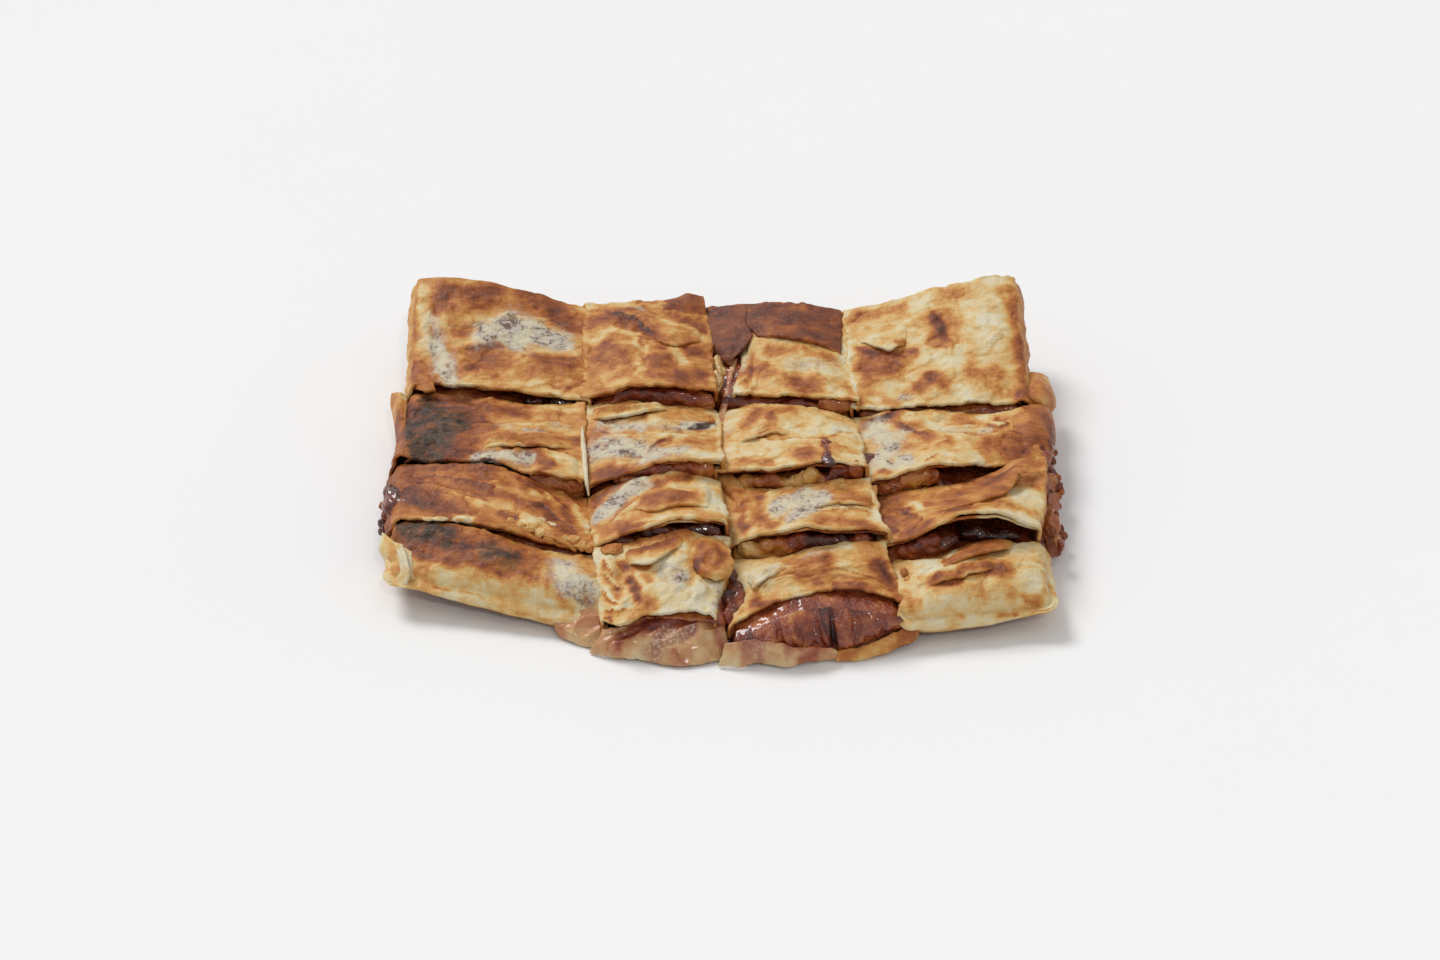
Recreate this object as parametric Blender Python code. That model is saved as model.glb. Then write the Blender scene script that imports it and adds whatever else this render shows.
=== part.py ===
"""Murtabak: a square folded flatbread with a chocolate and banana filling, pan-fried and cut with a
knife into sixteen pieces that still lie together as one flatbread.

Rows run from the back (a) to the front (d) and columns from the left (1) to the right (4). Each piece is
a wrapper of thin dough round a slab of filling. Where the dough was folded shut, along the outside, the
wrapper is closed over its edge; at the knife cuts it is open and the filling shows. +X is to the right,
+Y to the back and +Z up; the flat underside stands on z = 0 and the four corners curl up.
"""

import math

import bmesh
import bpy
import numpy as np
from mathutils import Vector

MM = 0.001

# Plan of the cuts, in millimetres: each column line's x and each row line's y where they cross.
# COLUMN_X[line][row line] runs from the left edge to the right edge, ROW_Y[row line][line] from back to front.
COLUMN_X = (
    (-103, -102, -104, -102, -100),
    (-44, -43, -41, -38, -35),
    (-3, 0, 1, 4, 4),
    (45, 46, 48, 52, 60),
    (103, 104, 107, 103, 102),
)
ROW_Y = (
    (92, 92, 93, 88, 92),
    (40, 32, 36, 28, 31),
    (-3, -18, -11, -16, 0),
    (-38, -51, -46, -49, -45),
    (-57, -74, -88, -79, -70),
)

# Height of each piece's top over the floor along its back and front edges (left end, middle, right end), how much
# its middle stands over them, its closed sides, how far its front wall's toe runs out and how far its front corners
# lie before the row line, all in millimetres.
PIECES = {
    "a1": {"back": (30, 27, 22), "front": (18, 20, 19), "crown": -0.5, "closed": ("back", "left")},
    "a2": {"back": (21, 23, 22), "front": (19, 23.5, 20), "crown": 0, "closed": ("back",)},
    "a3": {"back": (20, 22.5, 21), "front": (19, 20.5, 19), "crown": 1, "closed": ("back",)},
    "a4": {"back": (22, 27.5, 32), "front": (19, 18.5, 20), "crown": 1, "closed": ("back", "right")},
    "b1": {"back": (16.5, 18.5, 18), "front": (17, 20, 19), "crown": 0.5, "closed": ("left",)},
    "b2": {"back": (18, 18.5, 15.5), "front": (16.5, 20.5, 21), "crown": 0.5, "closed": ()},
    "b3": {"back": (15, 19, 17), "front": (16, 20.5, 21), "crown": 0.5, "closed": ()},
    "b4": {"back": (14.5, 18, 19.5), "front": (14.5, 17.5, 19), "crown": 0.5, "closed": ("right",)},
    "c1": {"back": (17, 18.5, 14.5), "front": (15.5, 17, 15.5), "crown": 1, "closed": ("left",)},
    "c2": {"back": (14.5, 18.5, 18), "front": (16, 21, 21), "crown": 0.5, "closed": ()},
    "c3": {"back": (14, 16.5, 17), "front": (14, 19, 19), "crown": 0.5, "closed": ()},
    "c4": {"back": (13, 15, 17), "front": (15, 24, 19), "crown": 0, "closed": ()},
    "d1": {"back": (16, 18, 16), "front": (13.5, 14, 13), "crown": 1.5, "closed": ("left", "front"), "toe": 3},
    "d2": {"back": (17.5, 18, 16.5), "front": (10.5, 12.5, 12), "crown": 1.5, "closed": ("front",), "toe": 4,
           "reach": (6, -1)},
    "d3": {"back": (14, 15.5, 16), "front": (9, 14, 10.5), "crown": 1.5, "closed": ()},
    "d4": {"back": (14.5, 16, 16), "front": (13, 13.5, 13), "crown": 2.5, "closed": ("front", "right"), "toe": 1},
}

# Folded layers that lie on the top skin, as (left end, right end, back line's v at both ends, front line's v at
# both ends, rise, lip). u and v run over a piece from left to right and from front to back; rise and the height
# of the curled front lip are millimetres.
LAYERS = {
    "a1": ((0.45, 1.0, 1.0, 1.0, 0.9, 0.6, 0.8, 0.5),),
    "a2": ((0.0, 1.0, 1.0, 1.0, 0.88, 0.6, 1.0, 0.8),),
    "a3": ((0.0, 0.3, 1.0, 1.0, 0.35, 0.75, 1.6, 0.8), (0.22, 1.0, 1.0, 1.0, 0.78, 0.32, 1.4, 1.0)),
    "a4": ((0.03, 0.34, 0.85, 0.8, 0.66, 0.58, 0.8, 2.0),),
    "b1": ((0.12, 1.0, 1.0, 1.0, 0.72, 0.7, 1.4, 0.8), (0.3, 1.0, 0.72, 0.7, 0.45, 0.42, 0.8, 0.8),
           (0.5, 1.0, 0.45, 0.42, 0.1, 0.0, 0.6, 1.4)),
    "b2": ((0.0, 1.0, 1.0, 1.0, 0.72, 0.7, 1.2, 1.6), (0.0, 1.0, 0.55, 0.6, 0.0, 0.0, 0.8, 1.0)),
    "b3": ((0.08, 0.95, 1.0, 1.0, 0.6, 0.55, 1.4, 1.2), (0.0, 1.0, 0.55, 0.55, 0.0, 0.0, 0.7, 0.8)),
    "b4": ((0.2, 0.9, 1.0, 1.0, 0.62, 0.5, 1.0, 1.0), (0.8, 1.0, 1.0, 1.0, 0.3, 0.2, 1.2, 1.0)),
    "c1": ((0.6, 1.0, 0.95, 0.6, 0.7, 0.05, 0.8, 1.2),),
    "c2": ((0.0, 1.0, 0.45, 1.0, 0.0, 0.62, 1.0, 1.2), (0.1, 1.0, 0.3, 0.62, 0.0, 0.0, 0.8, 1.4)),
    "c3": ((0.55, 1.0, 1.0, 1.0, 0.72, 0.65, 1.0, 0.8), (0.0, 1.0, 0.35, 0.45, 0.0, 0.0, 0.8, 1.2)),
    "c4": ((0.0, 0.82, 0.55, 1.0, 0.0, 0.62, 2.0, 1.6),),
    "d1": (),
    "d2": ((0.05, 0.55, 1.0, 1.0, 0.8, 0.85, 1.0, 1.8), (0.72, 1.0, 1.0, 1.0, 0.62, 0.6, 1.4, 2.4)),
    "d3": ((0.3, 1.0, 0.8, 1.0, 0.0, 0.0, 0.8, 1.0),),
    "d4": ((0.0, 0.8, 1.0, 1.0, 0.45, 0.75, 1.0, 1.6),),
}

# The dough and the room round it.
THINNEST = 1.2            # least height of any block
SKIN = 2.2                # thickness of the top skin, with its layers
WALL = 2.6                # thickness of a folded side
BASE = 2.0                # thickness of the bottom skin
CUT_GAP = 1.1             # half of the gap that the knife left between rows
COLUMN_GAP = 0.8          # half of the gap between columns
ROLL = 7.0                # width over which the top rolls down to a closed side
ROLL_DROP = 3.6           # how far it comes down there
CORNER_ROUND = 1.4        # how far the corners of the flatbread are drawn in
BULGE = 2.6               # how far a closed side stands out at half its height
CLEAR = 0.45              # gap between the filling and the dough round it
TOP_CLEAR = 0.8           # and under the skin on top
FILL_BACK = 1.2           # how far the filling stays behind a cut
OOZE = {"b4": 3.2, "c4": 4.0}  # how far the filling has run out past the right side
SHORT_SKIN = {"d3": (5.0, 13.0, 4.0)}  # how far a top skin's front edge lies behind the filling's

# How finely the blocks are cut: cells from left to right, from front to back and in height.
OUTER_CELLS = (12, 9, 2)
INNER_CELLS = (6, 5, 1)
PAST = 9.0  # how far a room is cut past an open side

# The corners curl up from the flat underside, beyond FLAT_RADIUS of the middle.
MIDDLE = (0.0, -6.0)
FLAT_RADIUS = 90.0
CURL_RADIUS = 135.0
CURL_HEIGHT = 12.0
CURLED = ("a1", "a4", "b1", "b4", "c1", "c4", "d1", "d4")

# Slices of banana that a cut has laid bare: piece, side it shows on, place along that side, radius and thickness.
BANANA_PROUD = 0.4  # how far a slice's face stands out of the filling's
BANANAS = {
    "banana_a2": ("a2", "right", 0.38, 9.0, 8.0),
    "banana_a3": ("a3", "front", 0.3, 9.5, 7.5),
    "banana_b3": ("b3", "front", 0.32, 10.0, 8.0),
    "banana_b4": ("b4", "front", 0.18, 9.0, 7.0),
    "banana_c3": ("c3", "front", 0.3, 10.0, 7.5),
    "banana_c1": ("c1", "right", 0.5, 8.0, 7.0),
}

SIDES = ("left", "right", "front", "back")
COLOURS = {
    "dough": ((0.72, 0.47, 0.24), 0.55),
    "filling": ((0.13, 0.035, 0.015), 0.25),
    "banana": ((0.78, 0.52, 0.16), 0.4),
}


def blend(a, b, t):
    return a + (b - a) * t


def arc(ends, t):
    """The parabola through three heights: the left end, the middle and the right end."""
    left, middle, right = ends
    return blend(left, right, t) + 4 * (middle - (left + right) / 2) * t * (1 - t)


def ease(t):
    t = min(1.0, max(0.0, t))
    return t * t * (3 - 2 * t)


def wave(along, seed):
    """A knife cut's wander, between about -1 and 1, along a length in millimetres."""
    return 0.55 * math.sin(along * 0.21 + seed) + 0.3 * math.sin(along * 0.53 + 2.7 * seed)


def corners(piece):
    """The piece's corners in plan: front left, front right, back left, back right."""
    row, column = "abcd".index(piece[0]), int(piece[1]) - 1
    reach = PIECES[piece].get("reach", (0, 0))
    return [
        (COLUMN_X[column + right][row + front], ROW_Y[row + front][column + right] - reach[right] * front)
        for front in (1, 0)
        for right in (0, 1)
    ]


def plan(piece, u, v):
    """The place in plan of u (left to right) and v (front to back), in millimetres."""
    (ax, ay), (bx, by), (cx, cy), (dx, dy) = corners(piece)
    x = blend(blend(ax, bx, u), blend(cx, dx, u), v)
    y = blend(blend(ay, by, u), blend(cy, dy, u), v)
    return x, y


def size(piece):
    """The piece's mean width and depth."""
    (ax, ay), (bx, by), (cx, cy), (dx, dy) = corners(piece)
    return (bx - ax + dx - cx) / 2, (cy - ay + dy - by) / 2


def floor_height(x, y):
    """How high the underside has curled up."""
    radius = math.hypot(x - MIDDLE[0], y - MIDDLE[1])
    rise = max(0.0, radius - FLAT_RADIUS) / (CURL_RADIUS - FLAT_RADIUS)
    return CURL_HEIGHT * rise * rise


def bare_top(piece, u, v):
    """Height of the top skin without its folded layers; it runs on level past the sides."""
    form = PIECES[piece]
    u, v = min(1.0, max(0.0, u)), min(1.0, max(0.0, v))
    height = blend(arc(form["front"], u), arc(form["back"], u), v)
    return height + form["crown"] * 16 * u * (1 - u) * v * (1 - v)


def layer_height(piece, u, v):
    """What the folded layers add: a low step each, with a curled lip along the front line."""
    total = 0.0
    width, depth = size(piece)
    for left, right, back_l, back_r, front_l, front_r, rise, lip in LAYERS[piece]:
        t = (u - left) / (right - left)
        across = min(u - left, right - u) * width
        behind = (v - blend(front_l, front_r, t)) * depth
        before = (blend(back_l, back_r, t) - v) * depth
        inside = ease(across / 3 + 1) * ease(behind / 3 + 0.8) * ease(before / 3 + 1)
        total += inside * (rise + lip * math.exp(-(behind / 5) ** 2))
    return total


def roll_off(piece, u, v):
    """How far the top has come down towards the closed sides."""
    width, depth = size(piece)
    distance = {"left": u * width, "right": (1 - u) * width, "front": v * depth, "back": (1 - v) * depth}
    nearest = [max(0.0, 1 - max(0.0, distance[s]) / ROLL) for s in PIECES[piece]["closed"]]
    return ROLL_DROP * min(1.15, math.sqrt(sum(n**4 for n in nearest)))


def inset_uv(piece, u, v, inset):
    """u and v drawn in from the sides by inset, which gives millimetres for each side."""
    width, depth = size(piece)
    return (
        blend(inset["left"] / width, 1 - inset["right"] / width, u),
        blend(inset["front"] / depth, 1 - inset["back"] / depth, v),
    )


def gaps(piece, extra_open=0.0, extra_closed=0.0):
    """The inset of each side: the knife's gap and extra_open at a cut, extra_closed at a folded side."""
    knife = {"left": COLUMN_GAP, "right": COLUMN_GAP, "front": CUT_GAP, "back": CUT_GAP}
    closed = PIECES[piece]["closed"]
    return {s: extra_closed if s in closed else knife[s] + extra_open for s in SIDES}


def cut_box(cells, flat_bottom):
    """A box from (0, 0, 0) to (1, 1, 1), cut into cells along each axis; its underside may be one face."""
    mesh = bmesh.new()
    bmesh.ops.create_cube(mesh, size=1)
    bmesh.ops.translate(mesh, verts=mesh.verts, vec=(0.5, 0.5, 0.5))
    for axis, count in enumerate(cells):
        along = [e for e in mesh.edges if abs(e.verts[0].co[axis] - e.verts[1].co[axis]) > 0.9]
        if count > 1:
            bmesh.ops.subdivide_edges(mesh, edges=along, cuts=count - 1, use_grid_fill=True)
    if flat_bottom:
        below = [f for f in mesh.faces if all(v.co.z < 0.001 for v in f.verts)]
        bmesh.ops.dissolve_faces(mesh, faces=below, use_verts=True)
    return mesh


def as_object(name, mesh, collection):
    bmesh.ops.recalc_face_normals(mesh, faces=mesh.faces)
    data = bpy.data.meshes.new(name)
    mesh.to_mesh(data)
    mesh.free()
    thing = bpy.data.objects.new(name, data)
    collection.objects.link(thing)
    return thing


def side_push(piece, u, v, w):
    """How far the wall of a closed side stands out at the share w of its height: x and y in millimetres."""
    closed = PIECES[piece]["closed"]
    swell = BULGE * math.sin(math.pi * min(1.0, w + 0.08)) if 0 < w < 1 else 0.0
    across = (u > 0.999 and "right" in closed) - (u < 0.001 and "left" in closed)
    along = (v > 0.999 and "back" in closed) - (v < 0.001 and "front" in closed)
    if across and along:
        swell = 0.4 * swell - CORNER_ROUND
    return swell * across, swell * along - PIECES[piece].get("toe", 0) * (1 - w) * (along < 0)


def knife_wander(piece, u, v, x, y):
    """How far the knife strayed at a cut: x and y in millimetres. Both sides of a cut share it."""
    closed = PIECES[piece]["closed"]
    row, column = "abcd".index(piece[0]), int(piece[1])
    at_left, at_right = u < 0.001 and "left" not in closed, u > 0.999 and "right" not in closed
    at_front, at_back = v < 0.001 and "front" not in closed, v > 0.999 and "back" not in closed
    stray_x = 0.5 * wave(y, column + at_right) * (at_left or at_right)
    stray_y = 0.7 * wave(x, 7 + row + at_front) * (at_front or at_back)
    return stray_x, stray_y


def loaf(name, piece, cells, inset, top, bottom, collection, outside=True, flat_bottom=True):
    """A block in the outline of the piece, from bottom(u, v, x, y) up to top(u, v, x, y)."""
    short = SHORT_SKIN.get(piece) if name.startswith("skin") else None
    mesh = cut_box(cells, flat_bottom)
    for vertex in mesh.verts:
        u, v, w = vertex.co
        pu, pv = inset_uv(piece, u, v, inset)
        if short:
            pv = blend(pv, 1, (1 - v) * arc(short, pu) / size(piece)[1])
        x, y = plan(piece, pu, pv)
        low = bottom(pu, pv, x, y)
        high = max(low + THINNEST, top(pu, pv, x, y))
        if outside:
            for step_x, step_y in (side_push(piece, u, v, w), knife_wander(piece, u, v, x, y)):
                x, y = x + step_x, y + step_y
        vertex.co = Vector((x, y, blend(low, high, w))) * MM
    bmesh.ops.triangulate(mesh, faces=mesh.faces)
    return as_object(name, mesh, collection)


def outer_top(piece):
    return lambda u, v, x, y: bare_top(piece, u, v) + layer_height(piece, u, v) - roll_off(piece, u, v)


def inner_top(piece, below):
    return lambda u, v, x, y: bare_top(piece, u, v) - below - 0.8 * roll_off(piece, u, v)


def floor_plus(height):
    return lambda u, v, x, y: floor_height(x, y) + height


def baked(thing):
    """Applies the object's modifiers to its mesh."""
    graph = bpy.context.evaluated_depsgraph_get()
    data = bpy.data.meshes.new_from_object(thing.evaluated_get(graph))
    thing.modifiers.clear()
    thing.data = data


def cut_out(thing, cutter):
    change = thing.modifiers.new("cut", "BOOLEAN")
    change.operation = "DIFFERENCE"
    change.object = cutter
    bpy.context.view_layer.update()
    baked(thing)
    bpy.data.objects.remove(cutter)


def knife(thing, piece, inset):
    """Cuts a block straight down along the piece's four sides, each side moved in by inset, and closes it."""
    mesh = bmesh.new()
    mesh.from_mesh(thing.data)
    middle = Vector((*plan(piece, 0.5, 0.5), 0)) * MM
    ends = {"left": ((0, 0), (0, 1)), "right": ((1, 0), (1, 1)), "front": ((0, 0), (1, 0)), "back": ((0, 1), (1, 1))}
    for side in SIDES:
        if side in PIECES[piece]["closed"]:
            continue
        start, end = (Vector((*plan(piece, *uv), 0)) * MM for uv in ends[side])
        away = (end - start).cross(Vector((0, 0, 1))).normalized()
        if away.dot(start - middle) < 0:
            away.negate()
        everything = mesh.verts[:] + mesh.edges[:] + mesh.faces[:]
        place = start - away * inset[side] * MM
        bmesh.ops.bisect_plane(mesh, geom=everything, plane_co=place, plane_no=away, clear_outer=True)
        rim = [e for e in mesh.edges if len(e.link_faces) == 1]
        bmesh.ops.holes_fill(mesh, edges=rim)
    bmesh.ops.triangulate(mesh, faces=mesh.faces)
    bmesh.ops.recalc_face_normals(mesh, faces=mesh.faces)
    mesh.to_mesh(thing.data)
    mesh.free()


def level(piece):
    """Whether the piece lies flat enough for its underside to be one face."""
    return piece not in CURLED


def make_wrapper(piece, parts):
    """Dough folded round the filling: the piece's block with the room for the filling cut out."""
    flat = level(piece)
    top = outer_top(piece)
    block = loaf("skin_" + piece, piece, OUTER_CELLS, gaps(piece), top, floor_plus(0), parts, flat_bottom=flat)
    room = gaps(piece, extra_open=-PAST, extra_closed=WALL)
    top = inner_top(piece, SKIN)
    hollow = loaf("room", piece, INNER_CELLS, room, top, floor_plus(BASE), parts, outside=False, flat_bottom=flat)
    cut_out(block, hollow)


def make_skin_and_base(piece, parts):
    """Where all four sides are cut, the dough is a skin on top and a base below."""
    top, under = outer_top(piece), inner_top(piece, SKIN)
    skin_cells, base_cells = (*OUTER_CELLS[:2], 1), (*INNER_CELLS[:2], 1)
    loaf("skin_" + piece, piece, skin_cells, gaps(piece), top, under, parts, flat_bottom=False)
    flat = level(piece)
    loaf("base_" + piece, piece, base_cells, gaps(piece), floor_plus(BASE), floor_plus(0), parts, flat_bottom=flat)


def make_filling(piece, parts):
    """The slab of filling: the room in the dough, a little smaller, cut a little behind the cuts in the dough. Some
    of it has run out past an open side."""
    room = gaps(piece, extra_open=-PAST, extra_closed=WALL + CLEAR)
    top, bottom = inner_top(piece, SKIN + TOP_CLEAR), floor_plus(BASE + CLEAR)
    name = "filling_" + piece
    slab = loaf(name, piece, INNER_CELLS, room, top, bottom, parts, outside=False, flat_bottom=level(piece))
    cuts = gaps(piece, extra_open=FILL_BACK)
    cuts["right"] -= OOZE.get(piece, 0)
    knife(slab, piece, cuts)
    return slab


def disc(name, radius, low, high, middle, parts):
    """A slice of banana lying flat, or the room for one."""
    mesh = bmesh.new()
    made = bmesh.ops.create_cone(
        mesh, cap_ends=True, segments=16, radius1=radius * MM, radius2=radius * MM * 0.96, depth=(high - low) * MM
    )
    bmesh.ops.translate(mesh, verts=made["verts"], vec=Vector((*middle, (low + high) / 2)) * MM)
    bmesh.ops.triangulate(mesh, faces=mesh.faces)
    return as_object(name, mesh, parts)


def make_banana(name, slab, parts):
    """A slice that the knife went through: its cut face shows where the filling does."""
    piece, side, along, radius, thickness = BANANAS[name]
    inset = gaps(piece, extra_open=FILL_BACK - BANANA_PROUD)
    u, v = {"left": (0, along), "right": (1, along), "front": (along, 0), "back": (along, 1)}[side]
    middle = plan(piece, u, v)
    low = floor_height(*middle) + BASE + 3.0
    room = disc("room", radius + CLEAR, low - CLEAR, low + thickness + CLEAR, middle, parts)
    cut_out(slab, room)
    knife(disc(name, radius, low, low + thickness, middle, parts), piece, inset)


def stand_at_origin(parts):
    """Moves everything so that the middle of its box stands on the origin."""
    bpy.context.view_layer.update()
    points = np.array([v.co for o in parts.objects for v in o.data.vertices])
    low, high = points.min(axis=0), points.max(axis=0)
    shift = Vector((-(low[0] + high[0]) / 2, -(low[1] + high[1]) / 2, -low[2]))
    for thing in parts.objects:
        for vertex in thing.data.vertices:
            vertex.co += shift
    print("moved by", [round(s / MM, 2) for s in shift], "mm")


def finish(parts):
    """Gives each node its material."""
    made = {}
    for kind, (colour, roughness) in COLOURS.items():
        material = bpy.data.materials.new(kind)
        material.use_nodes = True
        shader = material.node_tree.nodes["Principled BSDF"]
        shader.inputs["Base Color"].default_value = (*colour, 1)
        shader.inputs["Roughness"].default_value = roughness
        made[kind] = material
    for thing in parts.objects:
        kind = thing.name.split("_")[0]
        thing.data.materials.clear()
        thing.data.materials.append(made["dough" if kind in ("skin", "base") else kind])


def main():
    for thing in list(bpy.data.objects):
        bpy.data.objects.remove(thing)
    parts = bpy.data.collections.new("murtabak")
    bpy.context.scene.collection.children.link(parts)
    for piece, form in PIECES.items():
        if form["closed"]:
            make_wrapper(piece, parts)
        else:
            make_skin_and_base(piece, parts)
        slab = make_filling(piece, parts)
        for name in [n for n in BANANAS if BANANAS[n][0] == piece]:
            make_banana(name, slab, parts)
    stand_at_origin(parts)
    finish(parts)


main()
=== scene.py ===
import math

import bpy
import numpy as np
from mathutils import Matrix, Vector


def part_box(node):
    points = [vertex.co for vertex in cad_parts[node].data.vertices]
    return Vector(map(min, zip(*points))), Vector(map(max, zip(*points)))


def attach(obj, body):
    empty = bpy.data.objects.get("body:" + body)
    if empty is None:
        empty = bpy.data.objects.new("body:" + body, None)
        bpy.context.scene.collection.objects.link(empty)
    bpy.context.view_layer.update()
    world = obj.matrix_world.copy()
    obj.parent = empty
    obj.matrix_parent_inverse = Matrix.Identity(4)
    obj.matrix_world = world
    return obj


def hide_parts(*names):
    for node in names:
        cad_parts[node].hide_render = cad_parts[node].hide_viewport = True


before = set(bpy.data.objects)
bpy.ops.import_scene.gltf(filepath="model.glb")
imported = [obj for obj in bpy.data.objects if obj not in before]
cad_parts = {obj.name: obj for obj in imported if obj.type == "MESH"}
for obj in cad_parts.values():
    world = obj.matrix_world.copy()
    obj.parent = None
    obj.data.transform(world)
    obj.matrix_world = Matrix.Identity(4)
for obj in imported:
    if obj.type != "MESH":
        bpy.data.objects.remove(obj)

bl_info = {
    "name": "Murtabak",
    "version": (1, 0, 0),
    "blender": (4, 5, 0),
    "location": "View3D > Sidebar > Murtabak",
    "description": "A cut, pan-fried flatbread with a chocolate and banana filling",
    "category": "Add Mesh",
}

# Lengths are in millimetres wherever nothing else is said. Pieces are named by row, a to d from back to
# front, and by column, 1 to 4 from left to right.
MM = 0.001
ROWS = "abcd"
SIDES = ("left", "right", "front", "back")
TINY = 1e-9

# How far the whole was moved in plan so that the model's frame lies under its middle.
MOVED = (-1.48, -2.06)

# The cuts in plan, as in the solids: five column lines and five row lines, each from back to front or
# left to right.
COLUMN_X = np.array((
    (-103, -102, -104, -102, -100),
    (-44, -43, -41, -38, -35),
    (-3, 0, 1, 4, 4),
    (45, 46, 48, 52, 60),
    (103, 104, 107, 103, 102),
)) + MOVED[0]
ROW_Y = np.array((
    (92, 92, 93, 88, 92),
    (40, 32, 36, 28, 31),
    (-3, -18, -11, -16, 0),
    (-38, -51, -46, -49, -45),
    (-57, -74, -88, -79, -70),
)) + MOVED[1]

# How far the front left and the front right corner of a piece reach beyond the row line.
REACH = {"d2": (6, -1)}

# The underside lies flat within a circle and has curled up by this height at the wider radius.
MIDDLE = (MOVED[0], MOVED[1] - 6)
FLAT_RADIUS = 90.0
CURL_RADIUS = 135.0
CURL_HEIGHT = 12.0

# How far the undersides of two pieces have also curled up along the front, at seven places from left to
# right, and how deep into the piece that reaches.
LIFTED = {"d1": (5, 6, 5, 4, 3, 1.2, 0.4), "d4": (4, 3.2, 2.8, 2.5, 2, 1.7, 1.5)}
LIFTED_DEPTH = 26.0

# Each piece: the height of its top along the back and the front edge (left, middle, right), its crown,
# its closed sides with how brown each is, and how brown its top is all over.
PIECES = {
    "a1": ((30, 27, 22), (18, 20, 19), -0.5, {"back": 0.45, "left": 0.3}, 0.37),
    "a2": ((21, 23, 22), (19, 23.5, 20), 0, {"back": 0.5}, 0.39),
    "a3": ((20, 22.5, 21), (19, 20.5, 19), 1, {"back": 0.62}, 0.17),
    "a4": ((22, 27.5, 32), (19, 18.5, 20), 1, {"back": 0.3, "right": 0.46}, 0.16),
    "b1": ((16.5, 18.5, 18), (17, 20, 19), 0.5, {"left": 0.6}, 0.43),
    "b2": ((18, 18.5, 15.5), (16.5, 20.5, 21), 0.5, {}, 0.3),
    "b3": ((15, 19, 17), (16, 20.5, 21), 0.5, {}, 0.19),
    "b4": ((14.5, 18, 19.5), (14.5, 17.5, 19), 0.5, {"right": 0.7}, 0.24),
    "c1": ((17, 18.5, 14.5), (15.5, 17, 15.5), 1, {"left": 0.7}, 0.5),
    "c2": ((14.5, 18.5, 18), (16, 21, 21), 0.5, {}, 0.26),
    "c3": ((14, 16.5, 17), (14, 19, 19), 0.5, {}, 0.24),
    "c4": ((13, 15, 17), (15, 24, 19), 0, {}, 0.4),
    "d1": ((16, 18, 16), (13.5, 14, 13), 1.5, {"left": 0.2, "front": 0.2}, 0.3),
    "d2": ((17.5, 18, 16.5), (9, 12.5, 12), 1.5, {}, 0.1),
    "d3": ((14, 15.5, 16), (9, 14, 10.5), 1.5, {}, 0.23),
    "d4": ((14.5, 16, 16), (13, 13.5, 13), 2.5, {"front": 0.17, "right": 0.2}, 0.2),
}

# How far the front and the back edge of each skin lie above or below those heights, at seven places from
# left to right. A skin's rise or fall at an edge fades out over the piece.
LIPS = {
    "a1": (1.8, 2.5, 2.9, 1.8, 1, 0.8, 0.5),
    "a2": (1.5, 0.1, 1.8, 0.9, -0.2, -0.1, 1.2),
    "a3": (0.5, 0, 0.1, 0.6, 1.2, 2.1, 3.3),
    "a4": (-0.3, -0.3, 0.2, 0.7, 0.5, -0.7, -0.4),
    "b1": (5.9, 1.1, 2.4, 3.3, 0.3, 0.8, 1.8),
    "b2": (2.4, 2.2, 3, 4, 4.1, 3.6, 3.2),
    "b3": (3.8, 2.8, 2, 2.9, 4.1, 4.5, 4.1),
    "b4": (4.6, 4.2, 4.8, 2.6, -1.1, -3.4, -5),
    "c1": (4.3, 4.4, 4.7, 4.3, 2, 0.1, 0.6),
    "c2": (1.9, 2.3, 2.8, 4.1, 4.9, 3.3, 2.5),
    "c3": (-1, 2.1, 2, 3.9, 2.7, 2.6, 2.7),
    "c4": (2.4, -1.2, 1.2, 3.5, 3.3, 2, 1.1),
}
BROWS = {
    "a1": (2.8, 4.2, 3.6, 3.1, 1.6, 0, -0.9),
    "a2": (1.4, 0.5, 0, 0.2, -0.1, -1, -1.7),
    "a3": (0.2, 0.3, 0.8, 1.5, 1.4, 0.9, 0.1),
    "a4": (0.2, 0.1, 1, 1.9, 2.4, 3.1, 1.8),
    "b1": (0.9, 0, -1.5, -0.4, -2, -1.3, 0.8),
    "b2": (-0.7, -0.5, -0.4, -1.6, -2.4, -3.1, -3.5),
    "b3": (-3, -1.8, -1, -0.7, -1.1, -1.8, -3.7),
    "b4": (0, 1.1, 0.4, -1.1, -3.4, -3.5, -1.5),
    "c1": (-0.1, 0.4, 1.5, 2.9, 1.3, -1.7, -1.4),
    "c2": (-1.2, 0.7, 1.7, 1.6, 1.5, 0.1, -2),
    "c3": (-0.8, -1.4, -2.1, -1.1, -0.2, 1.7, 3.5),
    "c4": (-1.4, -1.5, -1.4, -1.7, -1.3, 2.2, 1.5),
    "d1": (1.9, 1.8, 1.9, 0.6, -3, -3.6, -2.1),
    "d2": (-0.6, -0.5, 0.9, 2.3, 3.9, 1.8, 0.8),
    "d3": (-7.4, -6.5, -5, -1.3, 0.4, 1.9, 1.9),
    "d4": (-7, -8.1, -5.2, -1.3, -0.5, -1, -0.3),
}

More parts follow.
